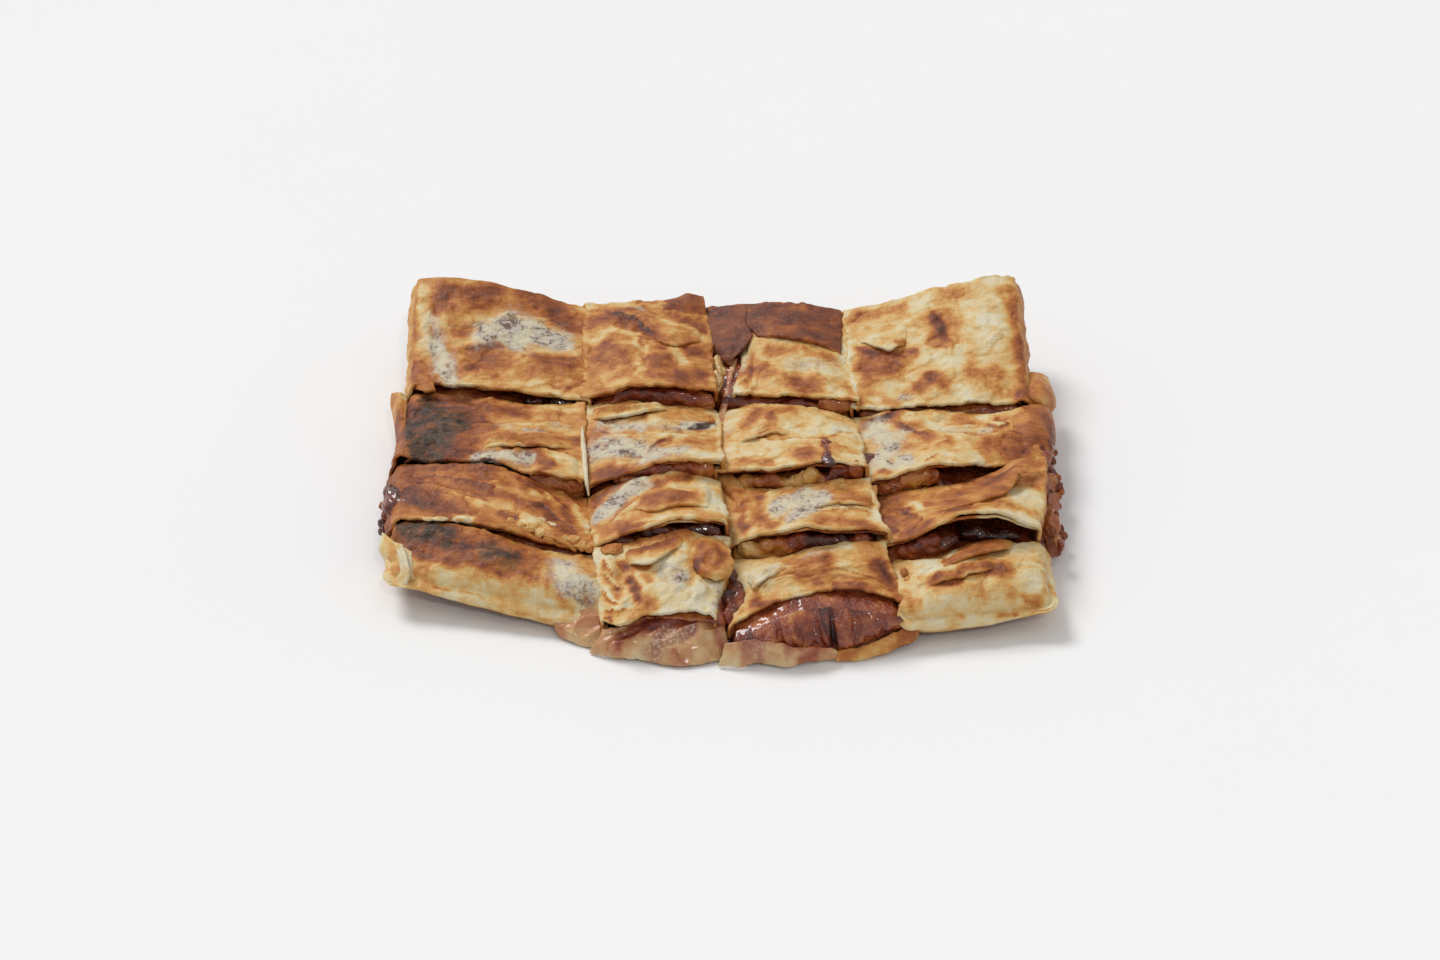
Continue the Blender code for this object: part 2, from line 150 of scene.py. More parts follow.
# Creases and edges of the layers on top, as lines on the plan. f drops to the front, b to the back, v is
# a valley. Then its height, how far it fades out, and x and y of its points.
CREASES = {
    "a1": (
        ("v", 0.7, 2.2, -98.1, 82, -96.7, 64.8, -94.2, 44.5),
        ("f", 0.6, 5, -85.5, 56.4, -77.5, 57.8, -70.1, 57.5),
        ("f", 0.5, 4, -66.4, 35, -56.6, 38.5, -47.9, 35.9),
        ("b", 0.5, 6, -81.5, 70.3, -71.6, 75, -59.7, 75.2, -49.4, 71.2),
    ),
    "a2": (
        ("f", 1.1, 7, -41.3, 85.7, -27.4, 74.9, -19.7, 62.6, -14.9, 58.7),
        ("b", 0.5, 4, -26.8, 45.2, -25, 55.8, -27.3, 69.4), ("f", 0.5, 4, -15.1, 68.8, -5.9, 67.7),
    ),
    "a3": (("v", 0.5, 3, 8.3, 61.6, 5.2, 49.7, 3.8, 32.8), ("v", 0.35, 2, 11, 61, 8.2, 49, 7.1, 35.4)),
    "a4": (("v", 0.5, 4, 100.6, 84, 100.3, 57.4, 100.3, 32.1), ("f", 0.3, 6, 47.7, 58.1, 62, 55.2)),
    "b1": (
        ("f", 1.5, 6, -78.2, -0.5, -70, 1.6, -65.4, 0.7, -59.6, 1.7, -51.9, 1.8),
        ("b", 0.6, 5, -91.2, 8.1, -78.5, 14.5, -65.5, 15.2, -47.7, 18.5),
        ("b", 0.8, 4, -80, -11.9, -74, -7.1, -64.7, -1.1, -51.7, -2.7, -45.1, -7.7),
        ("f", 0.9, 5, -63.5, -5.9, -56.2, -10.1, -44.4, -10.3),
        ("f", 0.5, 4, -104.1, 26.8, -92.5, 27.6, -79.1, 25),
    ),
    "b2": (
        ("f", 1.6, 4, -43.5, 21.2, -36.2, 20.2, -24.5, 23.8, -17.3, 27.9),
        ("b", 1.5, 7, -43.3, 13.3, -36, 9.5, -22.9, 5.3, -2.5, 9),
        ("f", 0.7, 2.5, -24, -4.2, -21.1, -1.1, -17.6, 3),
        ("v", 0.5, 2, -14.5, 15.5, -6.7, 12.5, -2.8, 18.7),
    ),
    "b3": (
        ("b", 0.8, 6, -0.5, 8.7, 6, 6.2, 11.2, 7.6, 18.6, 1.7, 24.4, 4, 32.2, 3.9, 44, 7.5),
        ("f", 1.3, 3, 11.2, 8.9, 14.5, 11.2, 16.8, 11.9), ("f", 0.8, 2, 35.1, 5.7, 39.5, 9.7, 43.8, 12.4),
        ("f", 0.4, 4, 4.6, -4.2, 15.9, -6.2),
    ),
    "b4": (
        ("b", 1.5, 6, 66.1, 13.7, 72.7, 10.4, 83, 8.1, 92.2, 9.8, 100.5, 7.3),
        ("f", 1, 3, 55.7, 21.4, 63.5, 14.7, 68.3, 11.5), ("f", 0.8, 2.5, 64.9, -9.2, 67, -6.2, 69.1, -2.5),
        ("f", 0.6, 3, 69.4, 3.7, 74.7, 5.1), ("f", 1.2, 3, 86.5, 16.9, 91.2, 14, 94.2, 18.6),
        ("f", 1.2, 3, 45.6, 24.5, 54.2, 24.9, 61.8, 26.6),
    ),
    "c1": (
        ("b", 0.7, 4, -63, -16.3, -55.8, -21.3, -46.9, -31.3),
        ("b", 0.6, 3, -59.3, -14, -51.3, -17.8, -43.9, -27.5),
        ("f", 0.6, 3, -58.7, -27.7, -50.5, -37.2, -44, -44.6),
        ("f", 0.5, 3, -63.3, -30, -55.1, -38.4, -48.6, -45.9),
        ("f", 0.5, 4, -96, -14.1, -79.7, -19.9, -63.4, -27.7),
        ("b", 0.5, 5, -102.4, -14.9, -85.7, -24.9, -69.4, -34.3),
        ("f", 0.7, 3, -65.4, -38.3, -58, -42.5, -52.5, -48.9),
    ),
    "c2": (
        ("b", 1.1, 5, -41.2, -31.8, -34.4, -25, -26.9, -18.5),
        ("b", 1.2, 6, -36.8, -44.1, -29.1, -34.1, -23.6, -29.1, -12.9, -27.3),
        ("f", 0.5, 3, -25.3, -37.6, -21.5, -39), ("f", 0.6, 4, -19.2, -23.6, -9.7, -27, -4.6, -33.3),
        ("b", 0.6, 4, -9.7, -32.7, -6.5, -27.9, -4, -22.8),
    ),
    "c3": (
        ("f", 0.8, 2.5, 21.1, -39.5, 24.2, -38.4, 28, -35.9),
        ("f", 0.7, 4, 30.5, -36.8, 37.5, -35.4, 42.8, -35.1, 48.8, -35.7),
        ("f", 0.8, 4, 32.6, -28.4, 40.8, -30, 48.9, -31.4),
        ("v", 0.8, 3, 13.2, -18.6, 11.8, -32.6, 7.6, -45),
        ("b", 0.5, 4, 17.6, -21.3, 21.9, -30.7, 26.8, -33.7),
    ),
    "c4": (("f", 0.8, 4, 56.7, -29.3, 63.8, -42.2, 59.6, -46.3), ("f", 0.4, 5, 68.1, -37.6, 82.2, -44.3)),
    "d1": (
        ("b", 0.2, 7, -97.4, -53.2, -89.5, -58.8, -76.8, -65.2, -68.8, -65.6, -62, -65.2, -57,
         -69.4, -52.7, -75.4), ("v", 0.5, 2.5, -89, -62.1, -88.1, -71.7),
        ("f", 0.5, 5, -100.1, -45.2, -87.2, -50.2, -74.5, -54.8),
        ("v", 0.5, 2, -53.4, -58.3, -49.3, -69.5, -50.2, -79),
        ("b", 0.4, 4, -86.9, -55.1, -74.5, -55.2, -61.9, -59.5),
        ("f", 0.5, 3, -44.8, -67.2, -40, -72.2, -35.9, -77.7),
    ),
    "d2": (
        ("v", 0.8, 2, -29.5, -60.1, -31.5, -68.3, -31.4, -76.1),
        ("f", 0.9, 2.5, -36.6, -63, -33.4, -67.9, -29.6, -69.9),
        ("f", 1, 2.5, -36.4, -69.5, -33.2, -74.6, -28.3, -76.4),
        ("f", 1.1, 2.5, -36.2, -77.2, -31.9, -77.9, -27.7, -77.6),
        ("f", 1.2, 3, -36.7, -57.1, -34.1, -63.6, -32.2, -66.5),
        ("v", 0.5, 3, -8.9, -54.7, -8.5, -67.5, -8.2, -78.1), ("b", 0.3, 4, -24.7, -73.5, -15.5, -72.6),
    ),
    "d3": (
        ("f", 1, 3.5, 10.8, -68.3, 14.5, -65.2, 18.9, -60.8),
        ("b", 0.9, 7, 12, -72.2, 19.8, -63.5, 28.2, -55.8, 38.6, -51.9),
        ("v", 0.7, 3, 49.3, -56.4, 51.4, -64.3, 55, -69.1),
        ("f", 0.5, 4, 33.4, -69.5, 39.5, -70.5, 50.2, -72.5),
        ("b", 0.5, 5, 7.4, -73.6, 16.5, -74.4, 24.2, -73.8),
    ),
    "d4": (
        ("f", 1.3, 5, 63.5, -68.3, 68.8, -67.3, 76.5, -65.9, 84.9, -63.5),
        ("f", 0.7, 4, 63.8, -68.4, 68.6, -70, 73.8, -71.2),
        ("v", 0.5, 4, 55.9, -81.9, 59.2, -77.1, 62.3, -75.7), ("b", 0.4, 4, 74.4, -76, 80.6, -74.3),
        ("f", 0.6, 4, 88.2, -76.3, 93.5, -73.9, 98.6, -79),
    ),
}

# Places where a slice of banana or a lump lifts the skin: x, y, half width, half depth and height.
DOMES = {
    "a1": (
        (-58, 48.5, 10.3, 8, 1.1), (-77.2, 64.4, 5.8, 5.1, 0.6), (-65.5, 66.9, 4.5, 4.6, 0.6),
        (-54.3, 65.1, 5.2, 4.6, 0.5), (-83.4, 43.7, 5.8, 6.3, 0.6), (-88.6, 76.6, 9.7, 8, 0.6),
    ),
    "a2": (
        (-34.8, 57.5, 9, 12.6, 1.5), (-21.2, 48.5, 5.8, 5.7, 0.9), (-10.1, 43.4, 4.5, 5.7, 0.5),
        (-34.2, 77.1, 8.1, 4.6, 0.5),
    ),
    "a3": ((18.5, 41.7, 7.7, 6.9, 0.8), (34.8, 40.9, 5.8, 6.9, 0.5), (6.5, 35.5, 3.2, 5.7, 0.8)),
    "a4": (
        (73.1, 42.2, 9.7, 9.1, 0.6), (89.2, 62.3, 9, 11.4, 0.5), (87.9, 39.2, 9.7, 8, 0.7),
        (53, 38.8, 7.1, 9.1, 0.5),
    ),
    "b1": ((-91.7, 16.1, 9.7, 8, 0.8), (-66.8, -10, 4.2, 4.6, 1.2)),
    "b2": ((-35.6, -2.8, 6.5, 5.1, 0.7), (-9.8, -5.6, 6.5, 5.7, 0.7)),
    "b3": (
        (16.2, 19.5, 9.7, 5.1, 1), (35.7, 14.6, 5.8, 5.1, 0.8), (12.7, -0.7, 8.4, 5.1, 0.6),
        (28.6, -8, 7.1, 4.6, 0.8),
    ),
    "b4": (
        (53.5, 7.5, 6.5, 9.1, 0.8), (78.6, 20.2, 9.7, 4, -1.6), (74, -0.7, 9.7, 5.1, 0.6),
        (101.1, 15.6, 3.9, 6.9, 0.8),
    ),
    "c1": ((-89, -23.3, 9.7, 6.9, 0.7), (-69.8, -27, 6.5, 6.9, 0.6)),
    "c2": ((-32, -22.1, 6.5, 4.6, 0.5), (-12.8, -32.8, 8.1, 4.6, 0.8), (-3.4, -31.5, 3.2, 6.9, 0.8)),
    "c3": ((23.5, -27.4, 5.2, 5.7, 0.8), (37.2, -42.6, 8.4, 3.4, 0.8), (9.8, -37.1, 3.2, 8, 0.7)),
    "c4": ((91, -32, 7.1, 6.9, 0.6), (53.1, -38.9, 4.5, 4.6, 0.6)),
    "d1": ((-90.5, -47.5, 9, 5.7, 0.7), (-68.2, -58.2, 9, 5.7, 0.9), (-44.7, -69.4, 5.8, 9.1, 0.9)),
    "d2": ((-18.6, -74.1, 8.4, 8, 0.7), (-12.6, -61.5, 6.5, 6.9, 0.6), (-4.8, -77.8, 4.5, 6.9, 0.5)),
    "d3": ((28.9, -66.9, 8.4, 6.9, 0.7), (15, -75.9, 5.8, 5.1, 0.6), (42.8, -63.7, 7.1, 5.7, 0.6)),
    "d4": ((88.9, -64.3, 9, 6.9, 0.7), (69.8, -76.9, 9, 6.9, 0.7), (88.2, -76.3, 9, 5.7, 0.5)),
}

# What the pan did to each piece, as strokes on the plan: x and y of both ends, radius and strength. A few
# of the browning strokes are painted shadows under flaps, lips and folds. The skin shows the filling
# through where it is stained.
BROWNED_AND_PAINTED_SHADOWS = {
    "a1": (
        (-93, 82, -75, 85, 2.3, 0.75), (-96, 80, -92, 75, 2.6, 0.6), (-67, 88, -55, 82, 3.5, 0.72),
        (-56, 78, -47, 74, 3.5, 0.78), (-85, 78, -68, 80, 2.6, 0.4), (-89, 63, -85, 65, 1.6, 0.6),
        (-83, 52, -72, 48, 2.6, 0.5), (-85, 56, -73, 57, 0.8, 0.75), (-84, 46, -80, 46, 1.3, 0.7),
        (-62, 50, -50, 50, 3.2, 0.55), (-60, 51, -53, 52, 1.9, 0.6), (-103, 46, -96, 35, 2.6, 0.75),
        (-105, 79, -104, 56, 1.6, 0.35), (-104, 69, -103, 67, 1.3, 0.4),
    ),
    "a2": (
        (-47, 75, -38, 79, 2.6, 0.64), (-38, 79, -26, 72, 2.6, 0.6), (-26, 71, -20, 61, 1.9, 0.6),
        (-38, 57, -32, 50, 3.5, 0.36), (-39, 62, -37, 61, 1, 0.5), (-35, 56, -33, 53, 1.3, 0.5),
        (-37, 48, -35, 47, 1, 0.45), (-32, 49, -30, 46, 1, 0.4), (-28, 89, -22, 88, 1, 0.55),
        (-16, 88, -6, 91, 1.9, 0.6), (-12, 78, -7, 74, 1.9, 0.65), (-24, 48, -18, 48, 2.6, 0.68),
        (-11, 58, -6, 55, 1.9, 0.55), (-16, 38, -6, 39, 2.9, 0.65), (-45, 38, -38, 31, 1.9, 0.3),
        (-46, 59, -40, 52, 1.9, 0.4),
    ),
    "a3": (
        (-3, 86, 44, 81, 3.9, 0.9), (8, 74, 14, 67, 1.3, 0.9), (17, 57, 25, 57, 1.9, 0.6),
        (29, 57, 39, 52, 1.6, 0.55), (7, 45, 14, 47, 2.3, 0.6), (16, 42, 26, 37, 2.6, 0.6),
        (26, 34, 33, 36, 2.3, 0.6), (30, 27, 42, 26, 1, 0.65), (41, 38, 44, 31, 1.6, 0.5),
        (6, 31, 23, 28, 0.8, 0.5),
    ),
    "a4": (
        # The second and third strokes on the next line are a painted shadow under the lip of a4's flap.
        (44, 79, 63, 80, 1.9, 0.6), (47, 58, 57, 53, 1.6, 0.85), (57, 53, 66, 55, 1.3, 0.75),
        (47, 50, 59, 49, 2.9, 0.7), (49, 44, 57, 45, 2.3, 0.6), (58, 49, 64, 52, 2.6, 0.5),
        (73, 70, 75, 61, 2.6, 1), (71, 58, 77, 57, 1.9, 0.55), (78, 70, 80, 68, 1.9, 0.4),
        (75, 84, 82, 82, 1.9, 0.42), (63, 71, 69, 70, 2.3, 0.35), (98, 81, 100, 57, 2.6, 0.36),
        (101, 57, 101, 37, 2.3, 0.45), (66, 37, 70, 40, 2.6, 0.72), (70, 40, 74, 37, 1.9, 0.55),
        (83, 42, 92, 40, 2.9, 0.6), (86, 36, 89, 35, 1.6, 0.35), (54, 31, 59, 29, 1.6, 0.5),
        (45, 32, 47, 25, 1.6, 0.65), (48, 40, 50, 37, 2.3, 0.35), (99, 32, 103, 29, 1.9, 0.8),
    ),
    "b1": (
        (-104, 22, -87, -1, 6.5, 0.9), (-82, 21, -75, 11, 2.6, 0.7), (-105, 33, -83, 31, 1.6, 0.7),
        (-87, -3, -78, -1, 1.6, 0.6), (-105, 32, -99, 26, 2.6, 0.75), (-108, 34, -103, -7, 1.6, 0.5),
        (-89, 30, -80, 18, 3.2, 0.75), (-73, 25, -63, 21, 1.9, 0.75), (-81, 3, -46, 6, 1.3, 0.5),
        (-88, -6, -82, -11, 1.9, 0.6), (-91, 2, -86, 5, 1.9, 0.65), (-78, -11, -72, -13, 1.6, 0.6),
        (-61, -2, -56, -13, 2.6, 0.75), (-83, 13, -79, 8, 1.3, 0.6),
    ),
    "b2": (
        # The first stroke on the next line is a painted shadow in the hollow under the edge of b2's back
        # layer.
        (-38, 20, -24, 21, 0.8, 1), (-42, 10, -37, 10, 1.9, 0.6), (-39, -15, -32, -16, 2.6, 0.75),
        (-30, -16, -24, -13, 1.3, 0.6), (-10, 3, -3, 2, 1.9, 0.5), (-24, -6, -17, 2, 0.6, 0.75),
    ),
    "b3": (
        (9, 16, 12, 23, 2.6, 0.65), (34, 3, 34, -18, 1, 0.95), (13, 23, 24, 24, 2.3, 0.62),
        (16, 20, 18, 14, 1.3, 0.6), (12, 6, 16, 9, 0.6, 0.8), (24, -7, 31, -11, 2.3, 0.65),
        (6, -6, 16, -10, 1.3, 0.5), (37, -4, 44, -4, 1.6, 0.35), (25, -17, 35, -20, 1, 0.5),
        (0, -13, 4, -16, 1.6, 0.5),
    ),
    "b4": (
        (56, 23, 68, 10, 1.9, 0.55), (47, 21, 59, 25, 1.3, 0.6), (70, 8, 75, 5, 1.6, 0.45),
        (91, 20, 93, 19, 1.3, 0.7), (77, 22, 83, 19, 1.6, 0.35), (86, 2, 100, 7, 2.9, 0.72),
        (93, -1, 99, 1, 1.9, 0.55), (99, 22, 101, 12, 2.3, 0.5), (105, 25, 108, 10, 2.9, 0.85),
        (52, -9, 54, -11, 1.3, 0.65), (60, 5, 68, 3, 1.9, 0.3),
    ),
    "c1": (
        (-101, -10, -77, -15, 2.6, 0.45), (-99, -24, -88, -35, 2.9, 0.8), (-88, -37, -82, -39, 1.6, 0.65),
        (-64, -18, -56, -22, 1, 0.75), (-57, -32, -52, -38, 1.9, 0.75), (-50, -30, -47, -37, 1.3, 0.7),
        (-55, -39, -45, -48, 1, 0.6), (-69, -38, -65, -41, 1.3, 0.6), (-107, -14, -103, -24, 1.9, 0.6),
        (-89, -17, -80, -22, 1.3, 0.3), (-53, -24, -46, -24, 1, 0.5),
    ),
    "c2": (
        (-41, -26, -32, -19, 1.6, 0.75), (-22, -23, -10, -17, 1.6, 0.7), (-23, -35, -10, -33, 2.6, 0.65),
        (-36, -45, -30, -45, 2.3, 0.6), (-30, -50, -25, -48, 1.6, 0.8), (-8, -50, -1, -50, 1.3, 0.7),
        (-41, -32, -39, -43, 1.3, 0.4),
    ),
    "c3": (
        (7, -25, 13, -20, 2.3, 0.6), (6, -16, 7, -42, 1.3, 0.7), (33, -22, 41, -26, 1.9, 0.5),
        (34, -31, 49, -31, 0.8, 0.55), (40, -18, 48, -22, 1.6, 0.5), (31, -44, 43, -46, 1.9, 0.6),
        (14, -38, 16, -43, 1.9, 0.6), (44, -46, 48, -50, 1.6, 0.7), (22, -36, 29, -36, 0.6, 0.6),
    ),
    "c4": (
        (52, -34, 54, -44, 1.9, 0.82), (55, -26, 58, -32, 1.3, 0.5), (57, -48, 64, -46, 1.6, 0.5),
        (69, -40, 77, -40, 1.3, 0.65), (85, -34, 90, -30, 1.3, 0.4), (50, -24, 57, -32, 1.6, 0.4),
    ),
    "d1": (
        (-101, -45, -82, -52, 4.2, 0.66), (-78, -55, -58, -61, 3.2, 0.7), (-83, -50, -62, -51, 2.6, 0.5),
        (-98, -53, -84, -59, 1.1, 0.6), (-84, -59, -68, -65, 1.1, 0.6), (-68, -65, -58, -64, 1.1, 0.5),
        (-54, -59, -50, -59, 1.6, 0.5), (-40, -76, -36, -79, 1.3, 0.75), (-48, -80, -46, -84, 1.3, 0.7),
        (-105, -41, -102, -50, 1.6, 0.6), (-54, -68, -52, -76, 1, 0.5), (-62, -89, -52, -91, 1, 0.6),
        # The next stroke is partly a browned underside and partly a painted shadow along the foot of d1's
        # front fold.
        (-89, -75, -73, -81, 0.6, 0.6),
    ),
    "d2": (
        (-27, -68, -26, -76, 1.3, 0.95), (-24, -68, -22, -70, 1, 0.6), (-23, -78, -20, -80, 1.6, 0.5),
        (-26, -82, -23, -83, 1.6, 0.4), (-35, -62, -33, -66, 1, 0.35), (-6, -55, 1, -63, 2.9, 0.5),
        # The first stroke on the next line is a painted shadow under the lip of d2's tongue.
        (-31, -62, -23, -64, 1, 0.75), (-29, -51, -11, -51, 1.9, 0.75), (-35, -82, -33, -84, 0.6, 0.8),
    ),
    "d3": (
        (11, -72, 14, -78, 1.9, 0.75), (16, -76, 17, -77, 1.3, 0.7), (10, -78, 18, -78, 1.6, 0.55),
        (24, -64, 32, -62, 2.9, 0.68), (29, -69, 32, -72, 1.6, 0.55), (36, -71, 46, -72, 1.6, 0.82),
        (40, -71, 43, -71, 1.3, 0.6), (47, -61, 54, -71, 2.3, 0.72), (45, -78, 53, -81, 1.3, 0.4),
        (43, -54, 52, -58, 2.6, 0.45),
    ),
    "b2_flap": ((-44, 24, -32, 23, 1.9, 0.7),),
    "a4_flap": ((60, 57, 65, 59, 1.6, 0.6), (44, 64, 46, 59, 1, 0.55), (51, 72, 63, 71, 1.3, 0.3)),
    "b4_flap": ((107, 22, 108, 4, 1.6, 0.85), (95, 9, 101, 4, 1.6, 0.5)),
    "c4_band": ((84, -22, 92, -15, 1.6, 0.5), (98, -9, 101, -5, 1.3, 0.6), (66, -31, 72, -31, 1.3, 0.3)),
    "d2_tongue": ((-29, -56, -15, -54, 2.6, 0.85), (-15, -55, -11, -52, 1.3, 0.4)),
    "b1_side": ((-107, 25, -104, 4, 1.3, 0.5),),
    "d2_knob": (
        (-8, -65, -5, -61, 0.7, 1), (-8, -64, -5, -61, 1.1, 0.9), (-5, -56, 0, -60, 1.6, 0.5),
        (-6, -68, -1, -66, 1.3, 0.5),
    ),
    "d1_corner": ((-104, -54, -99, -63, 1.9, 0.55), (-105, -45, -101, -52, 1.6, 0.4)),
    "d1_film": ((-45, -75, -37, -77, 1.6, 0.3), (-52, -75, -49, -79, 1.3, 0.3)),
    "d2_film": (
        (-31, -88, -23, -82, 1.9, 1), (-22, -83, -11, -83, 2.9, 1), (-20, -82, -9, -81, 1.9, 0.9),
        (-35, -88, -28, -86, 1, 0.5), (-3, -82, 0, -88, 1.3, 0.6), (-15, -92, -9, -93, 0.6, 0.7),
        (-9, -90, -6, -88, 1.3, 0.25),
    ),
    "d3_film": ((2, -89, 35, -93, 1.6, 0.8), (7, -92, 12, -90, 1.3, 0.5)),
    "d3_rim": ((37, -90, 55, -81, 1.3, 0.4), (54, -85, 60, -81, 1, 0.5)),
    "d4": (
        (64, -70, 73, -69, 1.3, 0.8), (73, -67, 86, -63, 1.3, 0.7), (81, -63, 89, -65, 1.9, 0.55),
        (88, -76, 99, -76, 1.3, 0.45), (94, -79, 99, -80, 1, 0.6), (73, -88, 74, -89, 1, 0.6),
        (84, -89, 90, -87, 1, 0.6), (56, -72, 58, -75, 1.6, 0.4), (67, -73, 85, -74, 1.6, 0.2),
        (101, -57, 100, -71, 1.3, 0.3),
    ),
}

PALE = {
    "a1": (
        (-101, 82, -99, 58, 2.6, 0.85), (-85, 65, -49, 66, 4.5, 0.6), (-67, 55, -49, 57, 1.3, 0.8),
        (-90, 35, -67, 38, 1, 0.5), (-63, 37, -48, 32, 1.6, 0.8), (-89, 59, -83, 57, 1.6, 0.6),
        (-78, 72, -68, 75, 1.9, 0.6),
    ),
    "a2": (
        (-43, 64, -37, 70, 1.1, 0.9), (-37, 70, -29, 66, 1.1, 0.9), (-29, 65, -26, 53, 1.1, 0.8),
        (-26, 53, -28, 40, 1.1, 0.8), (-45, 88, -19, 86, 1.6, 0.7), (-18, 75, -6, 69, 1.3, 0.6),
        (-16, 56, -13, 49, 1.9, 0.85), (-25, 59, -26, 38, 1, 0.6), (-24, 31, -16, 32, 1, 0.5),
        (-7, 35, -5, 32, 1.3, 0.5),
    ),
    "a3": ((4, 36, 7, 34, 2.9, 0.9), (36, 45, 42, 44, 1.9, 0.5), (20, 48, 27, 46, 1.6, 0.6)),
    "a4": (
        (68, 50, 80, 46, 3.5, 0.8), (89, 62, 90, 54, 4.2, 0.8), (57, 38, 62, 41, 1.9, 0.8),
        (71, 31, 92, 30, 1.6, 0.7), (85, 78, 90, 72, 3.2, 0.5), (63, 75, 65, 81, 1.6, 0.5),
    ),
    "b1": (
        (-97, 38, -71, 34, 1, 0.6), (-60, 28, -48, 26, 2.3, 0.7), (-77, 15, -46, 13, 2.3, 0.6),
        (-55, -6, -44, -14, 2.6, 0.8), (-83, 1, -71, -2, 1.3, 0.5),
    ),
    "b2": (
        (-33, 7, -7, 6, 1, 0.7), (-10, -8, -1, -9, 1.6, 0.9), (-26, 15, -10, 16, 1.3, 0.5),
        (-26, 2, -23, -2, 1.3, 0.5),
    ),
    "b3": ((31, 12, 42, 11, 2.9, 0.7), (5, 3, 22, -3, 1.9, 0.6)),
    "b4": ((71, -5, 82, -5, 1.9, 0.9), (67, 17, 84, 14, 1.6, 0.75)),
    "c1": (
        (-71, -24, -57, -27, 1, 0.5), (-79, -30, -63, -36, 1.6, 0.6), (-59, -24, -50, -24, 1.3, 0.85),
        (-46, -29, -42, -41, 1.3, 0.85), (-83, -42, -78, -43, 1.3, 0.95), (-94, -43, -84, -45, 0.6, 0.9),
        (-63, -41, -54, -43, 1.6, 0.95), (-93, -18, -79, -23, 1, 0.35),
    ),
    "c2": (
        (-19, -27, -7, -24, 1.3, 0.7), (-7, -21, -1, -35, 2.6, 0.95), (-25, -45, -9, -47, 1.3, 0.9),
        (-29, -37, -24, -31, 1.3, 0.6),
    ),
    "c3": (
        (15, -25, 17, -37, 2.3, 0.85), (41, -36, 49, -36, 1.3, 0.8), (18, -43, 31, -51, 1, 0.7),
        (9, -36, 11, -51, 1.6, 0.6),
    ),
    "c4": (
        (61, -28, 63, -35, 1.6, 0.85), (53, -49, 56, -43, 1.3, 0.7), (82, -46, 98, -45, 2.6, 1),
        (90, -27, 100, -30, 3.2, 1),
    ),
    "d1": ((-49, -64, -40, -77, 4.5, 0.9), (-77, -71, -55, -77, 4.5, 0.5), (-86, -66, -61, -80, 2.9, 0.6)),
    "d3": ((7, -62, 14, -61, 2.3, 0.9), (21, -80, 46, -78, 2.3, 1)),
    "b2_flap": ((-26, 24, -17, 26, 1.6, 0.5),),
    "b4_flap": ((96, 21, 99, 16, 1.6, 0.4),),
    "c4_band": ((57, -33, 63, -39, 1.6, 0.45),),
    "d2_tongue": ((-29, -62, -20, -65, 0.8, 1),),
    "b1_side": ((-109, 33, -105, 33, 1.3, 0.4),),
    "d1_film": ((-46, -81, -35, -85, 1.6, 0.7),),
    "d2_film": (
        (-37, -89, -24, -90, 1.3, 0.8), (-28, -88, -21, -88, 0.8, 0.7), (-8, -81, -6, -83, 1.3, 0.6),
        (-11, -89, 0, -89, 1.6, 0.4),
    ),
    "d3_film": ((0, -92, 9, -94, 1.3, 0.5), (15, -92, 27, -93, 1.9, 0.8), (1, -92, 7, -93, 1.6, 0.6)),
    "d3_rim": ((39, -92, 48, -89, 0.8, 0.5),),
    "d4": ((64, -77, 73, -79, 3.9, 0.8), (92, -66, 98, -69, 3.9, 0.7), (66, -64, 81, -63, 1.3, 0.6)),
}

CHARRED = {
    "a4": ((73, 64, 75, 63, 1.9, 0.5),),
    "b1": (
        (-100, 16, -97, -1, 5.2, 1), (-95, 20, -84, 16, 3.9, 1), (-91, 9, -92, -5, 4.5, 1),
        (-98, 33, -94, 26, 2.9, 0.9), (-84, 32, -77, 25, 2.3, 0.6),
    ),
    "b2": ((-9, 14, -4, 19, 1, 1),),
    "b4": ((106, 24, 107, 8, 1.9, 0.6),),
    "c1": ((-98, -28, -91, -34, 1.9, 0.6),),
    "d1": ((-101, -42, -85, -49, 3.2, 1), (-74, -56, -64, -60, 2.6, 0.9)),
}

